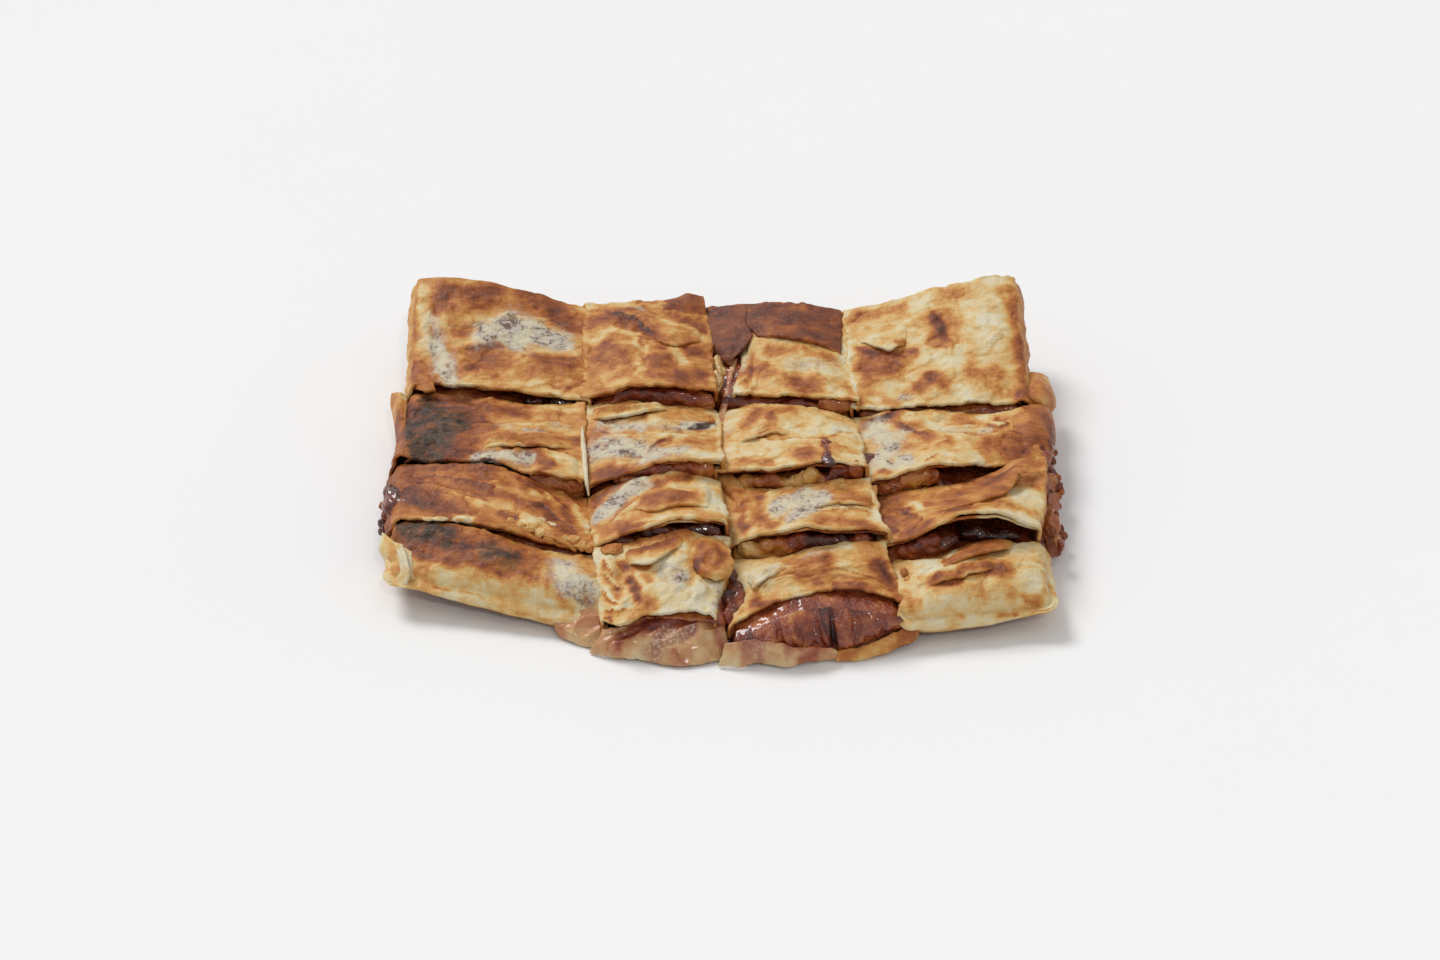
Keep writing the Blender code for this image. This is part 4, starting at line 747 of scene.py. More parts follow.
# Lumps of filling at the cuts: x, y, z, half width, half depth, half height and tone from chocolate to
# banana.
LUMPS = {
    "a1": ((-61.6, 36, 15.1, 4, 2.5, 2.5, 0.15), (-52.6, 34.8, 15.4, 4, 2.5, 2.5, 0.1)),
    "a2": (
        (-38.6, 32.7, 16.3, 3, 2, 1.5, 0.5), (-10.1, 35.1, 15.6, 5, 2, 3, 0.55),
        (-5.1, 35.6, 14.1, 3, 2, 4, 0.6), (-18.4, 35, 17.3, 9, 2, 3, 0.4),
        (-28, 34.3, 19.2, 7, 2, 2.5, 0.3), (-1.1, 55.5, 16.5, 2.4, 4, 4, 1), (-1.1, 46, 16, 2.4, 4, 4, 1),
        (-0.1, 52.8, 15, 2.4, 4, 4, 0.98), (3.2, 48.6, 14, 1.6, 3, 3, 0.3), (2.5, 43.5, 12, 1.8, 3, 3, 0.3),
        (0.5, 40.7, 11, 2.2, 3, 3, 0.45),
    ),
    "a3": (
        (4.8, 35.3, 15.5, 4, 2, 2.5, 0.2), (13.1, 33.9, 15.6, 7, 2, 2, 0.4),
        (26.3, 31.6, 16.6, 7, 2, 2, 0.35), (37.8, 29.1, 17.8, 6, 2, 3, 0.6),
    ),
    "b1": (
        (-52.6, -15.7, 15, 6, 2, 4, 0.6), (-47.1, -17, 15.1, 4, 2, 4, 0.62),
        (-57.8, -13.9, 16.6, 4, 2, 2.5, 0.5), (-66.9, -8.2, 18.6, 2.4, 1.8, 1.4, 0.38),
        (-68.5, -9.5, 17.5, 2.2, 1.6, 1.6, 0.2),
    ),
    "b2": (
        (-30.5, -15.9, 17.8, 4, 2, 2, 0.55), (-21, -13.7, 19.4, 6, 2, 3, 0.4),
        (-11.4, -12.1, 19.2, 6, 2, 3, 0.45), (-4.7, -11.3, 18.6, 3, 2, 3, 0.62),
    ),
    "b3": (
        (8.8, -11.7, 14.3, 3.5, 2.4, 2.6, 0.8), (12.6, -11.7, 14.3, 3.5, 2.4, 2.6, 0.62),
        (16.8, -11.9, 14.9, 4, 2.4, 2.6, 0.5), (20.6, -12.9, 14.4, 2.5, 2, 2, 0.66),
        (24.4, -13.5, 15.5, 3.2, 2.4, 2.6, 0.98), (28.6, -14.2, 17.9, 3.4, 2.4, 3.4, 0.92),
        (32.4, -14.4, 16.8, 2.4, 2, 2.4, 0.6), (35.6, -14.5, 16.6, 2.4, 2, 2, 0.5),
        (38.8, -14.1, 19, 4.2, 2.2, 3.4, 0.3), (43.1, -15.7, 21.5, 2.6, 2, 3.2, 0.55),
        (34.2, 0.6, 21.6, 1.7, 1.3, 0.9, 0.34), (34.2, -2.6, 21.9, 0.9, 1.6, 0.8, 0.3),
        (33.8, -5.9, 22.4, 1.1, 1.9, 0.8, 0.27), (34, -10.1, 23.4, 1.6, 2, 0.9, 0.24),
        (33.1, -13.6, 24.5, 1.4, 1.6, 0.8, 0.22), (34.2, -16.9, 26.1, 2.2, 1.7, 1, 0.2),
        (34.7, -18.9, 26, 2, 1.3, 0.9, 0.2),
    ),
    "b4": (
        (52.3, -14.2, 13.3, 2.6, 2.2, 2.4, 0.6), (56.2, -13.1, 13.4, 3, 2.2, 2.6, 0.5),
        (59.1, -12.3, 14.8, 2.4, 2.2, 3, 0.62), (62, -11.7, 15.1, 2.6, 2.2, 3.2, 0.66),
        (65.3, -10.6, 15.2, 2.6, 2.2, 3, 0.7), (67.9, -9.5, 15.2, 2.4, 2.2, 3, 0.55),
        (70.6, -9.1, 11.9, 2.4, 2, 1.6, 0.35), (73.3, -8, 11.2, 2, 2, 1.4, 0.3),
        (45.1, 9.2, 14.7, 0.6, 5, 0.7, 0.32), (47, -0.5, 15.5, 1.6, 3.2, 0.9, 0.3),
        (48.7, 1.7, 15.7, 1.4, 1.6, 0.7, 0.34), (106.3, 8, 14, 2.6, 3.2, 2.6, 0.42),
        (104.6, 3.1, 14, 3, 3.2, 3, 0.46), (106.6, 5.4, 11, 2.4, 3.2, 3, 0.5),
    ),
    "c1": (
        (-102.5, -22.9, 15.6, 4.2, 5.5, 2.2, 0.14), (-99, -27.6, 15.6, 3.2, 4, 2, 0.1),
        (-104.2, -26.3, 14.8, 2.6, 4, 2.4, 0.3), (-97.5, -31.2, 15, 2.6, 2.6, 2, 0.12),
        (-105.8, -15.5, 13, 2.2, 3, 2.6, 0.25), (-103.5, -20.1, 13, 2.6, 2.6, 2.4, 0.2),
        (-106.3, -18.5, 10, 2.2, 3, 2.6, 0.35), (-101.1, -25.7, 14, 2.4, 2, 1.8, 0.2),
        (-106.8, -21.8, 8, 1.8, 2, 2, 0.45), (-107.5, -27.9, 9, 1.6, 1.5, 1.7, 0.16),
        (-107, -31.3, 8.6, 1.6, 1.5, 1.7, 0.18),
    ),
    "c2": (
        (-29.5, -49.2, 16.9, 4, 2, 1.6, 0.25), (-18.9, -47.6, 19.1, 5, 2, 2.5, 0.2),
        (-6.5, -46.1, 18.1, 6, 2, 3, 0.15),
    ),
    "c3": (
        (8.5, -46.4, 12, 3.4, 2.4, 3, 0.95), (11.3, -46.6, 11, 4, 2.4, 2.4, 1),
        (14.8, -46.8, 13.7, 3.4, 2.4, 2.6, 0.72), (18.2, -46.8, 14.4, 3, 2.2, 2.2, 0.6),
        (21, -47.1, 13.2, 3, 2.2, 1.8, 0.8), (24.7, -46.4, 14.9, 4, 2.2, 2.6, 0.35),
        (30.4, -46.2, 14.8, 4.5, 2.2, 2.6, 0.2), (36, -46.6, 15.1, 4, 2.2, 2.6, 0.15),
        (44, -48.6, 16.4, 3, 2.2, 2.6, 0.45),
    ),
    "c4": (
        (57.5, -48.6, 12.7, 3, 2.2, 2.2, 0.5), (60.6, -48.4, 13.6, 3, 2.2, 2.4, 0.35),
        (63.6, -47.9, 15.2, 3, 2.2, 2.6, 0.3), (66.5, -47.5, 15.7, 2.8, 2.2, 2.6, 0.34),
        (69.3, -47.5, 14.2, 2.8, 2.2, 2, 0.3), (71.8, -46.7, 15.5, 2.6, 2.2, 2, 0.2),
        (59.7, -48.9, 11, 2.6, 2, 1.6, 0.45), (65.3, -48.3, 12.8, 3, 2, 1.6, 0.4),
        (79.5, -43.7, 16.1, 5, 2.2, 2, 0.05), (87.4, -43.1, 14.6, 6, 2.2, 2, 0.05),
        (104.5, -7.7, 11, 3.4, 4.6, 3.6, 0.6), (104.8, -17.3, 9.6, 3.4, 5, 4, 0.54),
        (104.7, -27.6, 8, 3.2, 4.6, 4, 0.62), (105.6, -33.1, 6, 2.4, 3, 2.4, 0.6),
    ),
    "d2": ((-37.9, -51.1, 11, 1.6, 2.6, 3, 0.2), (-37.2, -56.3, 10, 1.6, 2.6, 3, 0.22)),
    "d3": (
        (3.2, -61, 11, 2, 2.6, 3, 0.2), (4.7, -66, 10, 2.4, 3, 3, 0.24), (1.9, -70, 9, 2.2, 3, 3, 0.18),
        (5.9, -68.9, 9, 2, 3, 2.6, 0.35), (3.7, -74.9, 8, 2.4, 3, 3, 0.3), (1.6, -76.7, 7, 2.2, 3, 3, 0.42),
        (4.9, -79.5, 6, 2.2, 2.6, 2.4, 0.4), (6.5, -72.8, 8, 1.8, 3, 2.6, 0.5),
    ),
    "d4": ((107.2, -38.9, 8, 1.4, 2.4, 2.4, 0.4),),
}

# Crumbs of dough: x, y, z, half width, half depth, half height and how brown.
CRUMBS = {
    "c1": (
        (-65.6, -41.5, 19.2, 1.4, 1.6, 0.9, 0.34), (-62.3, -43.9, 18.9, 1.7, 1.3, 1.1, 0.3),
        (-59.2, -44.8, 18.4, 2.6, 1.6, 1.2, 0.3), (-56, -46.3, 17.9, 1.7, 2, 1.4, 0.24),
        (-57.8, -39.9, 18.1, 3.4, 1.8, 0.8, 0.06), (-54, -41.3, 17.5, 2.6, 1.4, 0.8, 0.12),
        (-50.8, -43.8, 16.9, 1.6, 1.9, 1.2, 0.2), (-48.8, -47.9, 16.7, 1.8, 1.4, 1.2, 0.3),
        (-45.7, -48.3, 16.6, 2.5, 1.6, 1.3, 0.38), (-42.8, -51.4, 16.5, 1.6, 2.1, 1.4, 0.36),
        (-53.1, -48.5, 17.1, 2, 1.3, 1.2, 0.4), (-40.9, -52.9, 16.4, 1.4, 1.3, 1.1, 0.4),
        (-87.5, -43.4, 21.2, 2.6, 1, 0.6, 0.06), (-81, -42.9, 20.9, 2.8, 1.3, 0.8, 0.04),
        (-91.3, -43.1, 21, 1.8, 0.9, 0.5, 0.12),
    ),
    "b1": (
        (-68.6, -6.2, 19.6, 3, 1.7, 0.9, 0.14), (-65.3, -8.3, 19, 2.4, 1.5, 1, 0.16),
        (-63.9, -4.1, 19.4, 1.5, 1.2, 0.7, 0.1),
    ),
    "b2": ((-2.8, 19.4, 18, 1.1, 1, 0.7, 0.5),),
    "d1": ((-108.1, -17.6, 9, 1.2, 1.2, 1.2, 0.6),),
    "d4": (
        (57.9, -65.3, 13.2, 1.5, 1.9, 0.8, 0.42), (56.5, -62.1, 14, 1.3, 1.7, 0.8, 0.5),
        (59.4, -74, 11.8, 1.8, 1.4, 1, 0.2), (56.2, -76.5, 11, 1.6, 1.4, 1, 0.18),
    ),
    "c4": (
        (102.7, -8.2, 13.6, 2.6, 2.4, 1.6, 0.76), (106.1, -3.7, 12.6, 2.2, 2.6, 1.5, 0.84),
        (108.4, -3.9, 10.8, 1.8, 1.6, 1.4, 0.7), (107.4, -8.3, 10.6, 2.6, 2.2, 1.7, 0.8),
        (109.5, -8.2, 8.6, 1.5, 1.8, 1.4, 0.66), (103.9, -15.2, 12.4, 2.4, 2, 1.5, 0.8),
        (107, -13.5, 9.8, 2.2, 1.9, 1.6, 0.64), (104, -21.8, 11.4, 1.6, 2.6, 1.2, 0.58),
        (108.1, -16.7, 8.4, 1.2, 1.4, 1, 0.6), (105, -26.3, 10.2, 1.4, 2.8, 1, 0.55),
        (103.9, -32.5, 9.4, 2.4, 2.2, 1.7, 0.68), (106.8, -28.4, 7.4, 2, 2.2, 1.7, 0.74),
        (108.5, -29.4, 5.4, 1.8, 1.6, 1.5, 0.64), (106.1, -33.7, 6.4, 1.6, 1.6, 1.3, 0.76),
    ),
    "b4": (
        (103.6, 4.5, 16.6, 1.8, 1.8, 1.3, 0.76), (107.4, 9.4, 14.6, 1.4, 1.7, 1.2, 0.68),
        (105.6, 3.7, 14.8, 1.9, 1.5, 1.4, 0.84), (108.6, 8, 12.8, 1.2, 1.6, 1.2, 0.64),
        (107.3, 3.8, 12.4, 1.8, 1.6, 1.3, 0.78), (103.2, -1.4, 15, 1.3, 1.5, 1.1, 0.7),
    ),
}

# Open edges that lie inside the line of the cut: how far, at seven places from front to back.
NOTCHES = {
    "a3left": (5.5, 7.5, 9, 9, 6, 2, 0),
    "d2right": (4.5, 3.5, 3, 1.5, 0, 0, 0),
    "d3left": (0, 2, 4.5, 4, 1, 0, 0),
    "c4right": (2, 2, 1.5, 1, 0, 0, 0),
}

# How far the front lip lies back from the line of the cut, at seven places from left to right.
SET_BACK = {
    "d2": (0.1, -3.7, 0.9, 2, 4.4, 6.3, 5.6),
    "d3": (5, 9.4, 12.1, 13, 12.1, 9.4, 5),
}

# Where the filling has sunk away under the skin: share of the width and depth, half sizes as shares, and
# depth.
HOLLOWS = {
    "c4": ((0.62, 0.1, 0.42, 0.5, 8), (0.9, 0.9, 0.2, 0.3, 4)),
    "b4": ((0.7, 0.05, 0.35, 0.45, 6),),
    "a1": ((0.75, 0, 0.3, 0.3, 4),),
    "c2": ((0.75, 0, 0.35, 0.35, 3),),
    "b3": ((0.4, 0, 0.3, 0.3, 2),),
}

# The radius over which a closed side's skin turns down, where it isn't the usual one.
FOLD_RADIUS = 3.4
OWN_FOLD_RADIUS = {
    "d1front": 6.5, "d1left": 5.0, "d4front": 6.0, "d4right": 4.0, "a4right": 2.4, "a1left": 2.4,
    "a1back": 2.2, "a2back": 2.2, "a3back": 2.2, "a4back": 2.2,
}

# Cuts that have closed again, so that the two skins meet.
SEAMS = ("a1right", "a2left", "a3right", "a4left", "b2right", "b3left", "c3right", "c4left")

# How the skin meets a cut or a seam: the radius of its turn, and how far inside the line the turn starts.
CUT_RADIUS, CUT_INSET = 1.2, 0.8
SEAM_RADIUS, SEAM_INSET = 1.0, -0.5
LIP_INSET = 0.7

# How far into a piece its lip and its brow rise or fall, and within which range. Then how deep the
# ripples of a lip are and how far they reach.
LIP_FADE, LIP_RANGE = 8, (-4, 4.5)
BROW_FADE, BROW_RANGE = 7, (-5, 6)
LIP_RIPPLE, LIP_RIPPLE_FADE = 0.5, 3

# How far into a piece a torn edge, a front that lies back and a notch are felt.
FRAY_REACH, SET_BACK_REACH, NOTCH_REACH = 5, 30, 16

# How wide the step at a layer's edge is, how much painted shade darkens a valley and the foot of a step and
# how much painted highlight lightens the top of a step, and the width of that painted shade and highlight.
CLIFF_WIDTH = 0.8
PAINTED_VALLEY_SHADE, PAINTED_FOOT_SHADE, PAINTED_TOP_HIGHLIGHT = 0.22, 0.42, 0.14
FOOT_SHADE_WIDTH, TOP_SHADE_WIDTH = 1.2, 1.1

# How brown the palest and the brownest strokes of the pan are, and how much paler a cut edge is.
PALEST, BROWNEST = 0.04, 0.82
EDGE_PALE, EDGE_WIDTH = 0.12, 0.8

# A bound flap rises out of the skin over these shares of its width and of its length.
FLAP_SIDE, FLAP_BACK = 0.22, 0.6

# How much skin folds down a closed side, how much hangs into a cut, and how deep that skirt goes.
FOLD_WRAP, CUT_WRAP = 27.0, 5.0
SKIRTS = {"left": 4.0, "right": 4.0, "front": 3.0, "back": 3.0}

# How a folded side comes down: the shares that its shoulder and its wall take, then the foot turns in
# below. How far the wall bulges, the foot's radius, and how much further a corner reaches than a side.
SHOULDER_SHARE, WALL_SHARE = 0.28, 0.5
WALL_BULGE, FOOT_RADIUS = 2.2, 3.0
CORNER_REACH = 0.16

# How far the foot of the folded front turns out again.
TOES = {"d1": 2.0, "d4": 1.0}

# The layer inside the skin starts this much further in at a closed side, and its cells are this wide.
INNER_INSET = 2.5
INNER_CELL = 1.1

# The skin below: how thick it is, how high its upper face lies and how far it stays back from closed and
# cut sides.
BASE_THICKNESS, BASE_HEIGHT = 1.2, 1.6
BASE_INSET = {"closed": 4.0, "cut": 0.6, "lifted front": 9.0}

# The slab of filling: the radius of its edges, how far it stays back from closed and cut sides, how much
# of it is wrapped down, how far it lies below the top of the skin and above the underside, and how hollow
# its faces are.
SLAB_RADIUS, SLAB_WRAP, SLAB_CELL = 2.6, 17.0, 0.9
SLAB_INSET = {"closed": 3.4, "cut": 1.4}
SLAB_BELOW, SLAB_ABOVE, SLAB_HOLLOW = 3.2, 2.1, 1.6
SLAB_SET_BACK = {"d2": 9, "d3": 5}

# The open front of the piece whose filling bulges out: cells, thickness, where its slit is and how wide
# and deep, and where it is brighter or darker: the place in x, half width and by how much.
OPEN_PIECE = "d3"
FRONT_CELLS = (150, 44)
FRONT_THICKNESS = 1.6
SLIT_X, SLIT_WIDTH, SLIT_DEPTH = 34.4, 0.8, 3.0
FRONT_TONES = ((20, 4.5, 0.2), (9, 5, -0.1))

# The finest cells of the melted filling, how many rounds smooth it, and how grainy its face is.
MELT_CELL, MELT_ROUNDS, MELT_GRAIN = 0.55, 2, 0.28
SLICE_CELL, SLICE_GRAIN = 0.5, 0.16

# Points that come out lower than this above the floor are raised to about it.
FLOOR_GAP = 0.2

# The photo's camera: picture size and focal length in pixels, the pixel that shows the aim, the aim and
# the camera's distance in metres, how steeply it looks down in degrees, and the width of its sensor.
PICTURE = (1440, 960)
FOCAL_LENGTH = 3414
AIM_PIXEL = (716, 451)
AIM = (MOVED[0] * MM, MOVED[1] * MM, 0.02)
DISTANCE = 1.1
ELEVATION = 32.5
SENSOR = 36

# The suns: their turns in degrees, their strength and how wide they are in degrees. Then the strength of
# the sky, and the floor's width and the camera's furthest sight in metres.
SUNS = (((-30, -30, 0), 1.75, 24), ((46, 0, 14), 0.3, 4))
SKY = 0.485
FLOOR_SIZE = 8
FURTHEST = 20

# Numbers that scramble a place and a seed into a chance, that bring the noise to about -1 to 1, and that
# make each finer round of it weaker than the one before.
SCRAMBLE = (374761393, 668265263, 974634777, 1274126177)
RIPPLE_GAIN, ROUGH_GAIN = 1.6, 1.3
OCTAVE_FADE = 1.8


# Curves and noise


def ease(t):
    t = np.clip(t, 0.0, 1.0)
    return t * t * (3 - 2 * t)


def mix(a, b, t):
    return a + (b - a) * t


def arc(ends, t):
    left, middle, right = ends
    return mix(left, right, t) + 4 * (middle - (left + right) / 2) * t * (1 - t)


def chance(ix, iy, seed):
    """A repeatable number from 0 to 1 for each whole-numbered place."""
    mixed = (ix * SCRAMBLE[0] + iy * SCRAMBLE[1] + seed * SCRAMBLE[2]) & 0xFFFFFFFF
    mixed = ((mixed ^ (mixed >> 13)) * SCRAMBLE[3]) & 0xFFFFFFFF
    return ((mixed ^ (mixed >> 16)) & 0xFFFF) / 65535.0


def ripple(x, y, seed):
    """Smooth noise between about -1 and 1, with bumps one unit apart."""
    ix, iy = np.floor(x).astype(np.int64), np.floor(y).astype(np.int64)
    fx, fy = x - ix, y - iy
    wx, wy = fx**3 * (fx * (6 * fx - 15) + 10), fy**3 * (fy * (6 * fy - 15) + 10)
    total = 0.0
    for dx in (0, 1):
        for dy in (0, 1):
            turn = 2 * math.pi * chance(ix + dx, iy + dy, seed)
            slope = np.cos(turn) * (fx - dx) + np.sin(turn) * (fy - dy)
            total = total + slope * (wx if dx else 1 - wx) * (wy if dy else 1 - wy)
    return total * RIPPLE_GAIN


def rough(x, y, width, seed, octaves=3):
    """Noise with finer and finer bumps, the largest of this width."""
    total, weight = 0.0, 0.0
    for k in range(octaves):
        step = 2.0**k / width
        total = total + ripple(x * step + 31 * k, y * step - 17 * k, seed + k) / OCTAVE_FADE**k
        weight += 1 / OCTAVE_FADE**k
    return total / weight * ROUGH_GAIN


def through(knots, t):
    """Places on the smooth curve through evenly spaced knots. In a stack, each point has its own knots."""
    knots = np.array(knots, float)
    at = np.clip(t, 0, 1) * (len(knots) - 1)
    k = np.minimum(at.astype(int), len(knots) - 2)
    f = at - k
    knots = np.concatenate([[2 * knots[0] - knots[1]], knots, [2 * knots[-1] - knots[-2]]])
    own = (np.arange(len(f)),) if knots.ndim == 3 else ()
    f = f[:, None] if knots.ndim > 1 else f
    before, a, b, after = (knots[(k + n, *own)] for n in range(4))
    return 0.5 * (
        2 * a
        + (b - before) * f
        + (2 * before - 5 * a + 4 * b - after) * f**2
        + (3 * a - before - 3 * b + after) * f**3
    )


def number(piece):
    """A piece's own seed for its noise."""
    return 90 * ROWS.index(piece[0]) + 13 * int(piece[1])


# The form of a piece


def closed_sides(piece):
    """The sides that are folded shut, with how brown each is."""
    return PIECES[piece][3]


def outline(piece):
    """Corners in plan: front left, front right, back left, back right."""
    row, column = ROWS.index(piece[0]), int(piece[1]) - 1
    reach = REACH.get(piece, (0, 0))
    return [
        (COLUMN_X[column + right][row + front], ROW_Y[row + front][column + right] - reach[right] * front)
        for front in (1, 0)
        for right in (0, 1)
    ]


def plan(piece, u, v):
    """The place on the plan at a share of the width and of the depth, from the front left."""
    a, b, c, d = outline(piece)
    return tuple(mix(mix(a[k], b[k], u), mix(c[k], d[k], u), v) for k in (0, 1))


def size(piece):
    """Mean width and depth of a piece."""
    a, b, c, d = outline(piece)
    return (b[0] - a[0] + d[0] - c[0]) / 2, (c[1] - a[1] + d[1] - b[1]) / 2


def unplan(piece, x, y):
    """Shares of the width and the depth at a place on the plan."""
    a, b, c, d = outline(piece)
    u, v = np.full_like(x, 0.5), np.full_like(x, 0.5)
    for _ in range(6):
        px, py = plan(piece, u, v)
        ux, uy = mix(b[0] - a[0], d[0] - c[0], v), mix(b[1] - a[1], d[1] - c[1], v)
        vx, vy = mix(c[0] - a[0], d[0] - b[0], u), mix(c[1] - a[1], d[1] - b[1], u)
        scale = ux * vy - vx * uy
        rx, ry = x - px, y - py
        u, v = u + (rx * vy - vx * ry) / scale, v + (ux * ry - rx * uy) / scale
    return u, v


def to_sides(piece, u, v):
    """How far each side is from a place."""
    width, depth = size(piece)
    return {"left": u * width, "right": (1 - u) * width, "front": v * depth, "back": (1 - v) * depth}


def floor_height(x, y):
    """How far the flatbread's corners have curled up off the floor."""
    outside = np.maximum(0.0, np.hypot(x - MIDDLE[0], y - MIDDLE[1]) - FLAT_RADIUS)
    rise = outside / (CURL_RADIUS - FLAT_RADIUS)
    return CURL_HEIGHT * rise * rise


def underside(piece, x, y, u, v):
    """Height of a piece's underside, with the fronts that have curled up."""
    lift = 0.0
    if piece in LIFTED:
        lift = through(LIFTED[piece], u) * ease(1 - to_sides(piece, u, v)["front"] / LIFTED_DEPTH)
    return floor_height(x, y) + lift


def bare_top(piece, u, v):
    """Height of a piece's top without its folds and wrinkles."""
    back, front, crown = PIECES[piece][:3]
    u, v = np.clip(u, 0, 1), np.clip(v, 0, 1)
    return mix(arc(front, u), arc(back, u), v) + crown * 16 * u * (1 - u) * v * (1 - v)


def creases(piece, x, y):
    """Height of the layers and lumps on a piece, and their painted shade and highlight at creases and
    steps.
    """
    wx, wy = x + 1.1 * rough(x, y, 8, 21), y + 1.1 * rough(x, y, 8, 37)
    height, painted_shade_and_highlight = np.zeros_like(x), np.zeros_like(x)
    for kind, rise, reach, *line in CREASES[piece]:
        knots = np.array(line, float).reshape(-1, 2)
        away, side, spent = np.full_like(x, 1e9), np.zeros_like(x), np.zeros_like(x)
        for k, ((ax, ay), (bx, by)) in enumerate(zip(knots[:-1], knots[1:])):
            dx, dy = bx - ax, by - ay
            along = np.clip(((wx - ax) * dx + (wy - ay) * dy) / (dx * dx + dy * dy), 0, 1)
            far = np.hypot(wx - ax - along * dx, wy - ay - along * dy)
            cross = (wy - ay) * dx - (wx - ax) * dy
            side = np.where(far < away, np.sign(cross), side)
            spent = np.where(far < away, (k + along) / (len(knots) - 1), spent)
            away = np.minimum(far, away)
        ends = ease(spent * 5 + 0.1) * ease((1 - spent) * 5 + 0.1)
        if kind == "v":
            height -= rise * ends * np.exp(-((away / reach) ** 2))
            painted_shade_and_highlight += PAINTED_VALLEY_SHADE * ends * np.exp(-((away / reach * 1.6) ** 2))
            continue
        raised = (side > 0) == (kind == "f")
        cliff = 1 - ease(away / CLIFF_WIDTH)
        height += rise * ends * np.where(raised, np.exp(-((away / reach) ** 1.5)), cliff * 0.5)
        height -= 0.5 * rise * ends * np.where(raised, cliff, 0)
        # Painted highlight on the raised side of a step, painted shade at its foot.
        pale = PAINTED_TOP_HIGHLIGHT * np.exp(-away / TOP_SHADE_WIDTH)
        shade = PAINTED_FOOT_SHADE * np.exp(-away / FOOT_SHADE_WIDTH)
        painted_shade_and_highlight += ends * np.where(raised, -pale, shade) * min(1, rise)
    for cx, cy, rx, ry, rise in DOMES[piece]:
        height += rise * ease(1.3 - np.hypot((wx - cx) / rx, (wy - cy) / ry))
    return height, painted_shade_and_highlight


def relief(piece, x, y):
    """Wrinkles and blisters of the fried skin."""
    seed = number(piece)
    lean = 0.5 * math.sin(seed)
    bend = 3.5 * rough(x, y, 15, seed + 3)
    broad = 0.62 * rough(x + bend, y + bend, 15, seed, 2)
    fine = 0.17 * rough(x - bend, y + bend, 5, seed + 1)
    across = y * math.cos(lean) - x * math.sin(lean)
    pleat = 1 - np.abs(ripple((x + bend) / 15, (across + bend) / 7, seed + 2))
    blister = ease((rough(x, y, 6, seed + 6, 2) - 0.45) / 0.4)
    return broad + fine + 0.3 * ease((pleat - 0.74) / 0.26) + 0.35 * blister


def surface(piece, x, y, u, v):
    """Height of a piece's skin and its painted shade and highlight at creases, steps and flaky layers."""
    near = to_sides(piece, u, v)
    front, back = np.maximum(near["front"], 0), np.maximum(near["back"], 0)
    folds, shade = creases(piece, x, y)
    leaf = rough(x + 2 * rough(x, y, 9, 23), y, 13, number(piece) + 7)
    top = bare_top(piece, u, v) + relief(piece, x, y) + folds + 0.4 * ease((leaf - 0.12) / 0.06)
    # Painted shade: a darker line at the foot of each flaky layer's edge.
    shade = shade + 0.1 * np.exp(-(((leaf - 0.1) / 0.05) ** 2))
    if piece in LIPS:
        top = top + np.clip(through(LIPS[piece], u), *LIP_RANGE) * np.exp(-front / LIP_FADE)
        top = top + LIP_RIPPLE * ripple(x / 7, y * 0, number(piece)) * np.exp(-front / LIP_RIPPLE_FADE)
    brow = np.clip(through(BROWS[piece], u), *BROW_RANGE)
    fade = np.clip(v, 0, 1) ** 1.3 if piece[0] == "a" else np.exp(-back / BROW_FADE)
    return top + brow * fade, shade


def stroke(x, y, mark, squash):
    """How far inside a stroke a point lies: its strength in the middle, with a wide soft halo."""
    x0, y0, x1, y1, radius, strength = mark
    dx, dy, y = x1 - x0, (y1 - y0) * squash, (y - y0) * squash
    along = np.clip(((x - x0) * dx + y * dy) / max(dx * dx + dy * dy, TINY), 0, 1)
    away = np.hypot(x - x0 - along * dx, y - along * dy) / radius
    halo, core = np.exp(-((away / 1.35) ** 2)), np.exp(-((away / 0.95) ** 4))
    return min(1.0, strength) ** 1.3 * (0.5 * halo + 0.5 * core)


def marks(strokes, table, x, y):
    """How strongly the strokes of one kind cover each place, with edges that waver."""
    wx = x + 1.7 * rough(x, y, 9, 71) + 0.6 * rough(x, y, 2.6, 75)
    wy = y + 1.7 * rough(x, y, 9, 91) + 0.6 * rough(x, y, 2.6, 95)
    squash = FILM_SQUASH if table.endswith("film") else TOP_SQUASH
    bare = np.ones_like(x)
    for mark in strokes.get(table, ()):
        bare = bare * (1 - np.clip(stroke(wx, wy, mark, squash), 0, 1))
    return 1 - bare


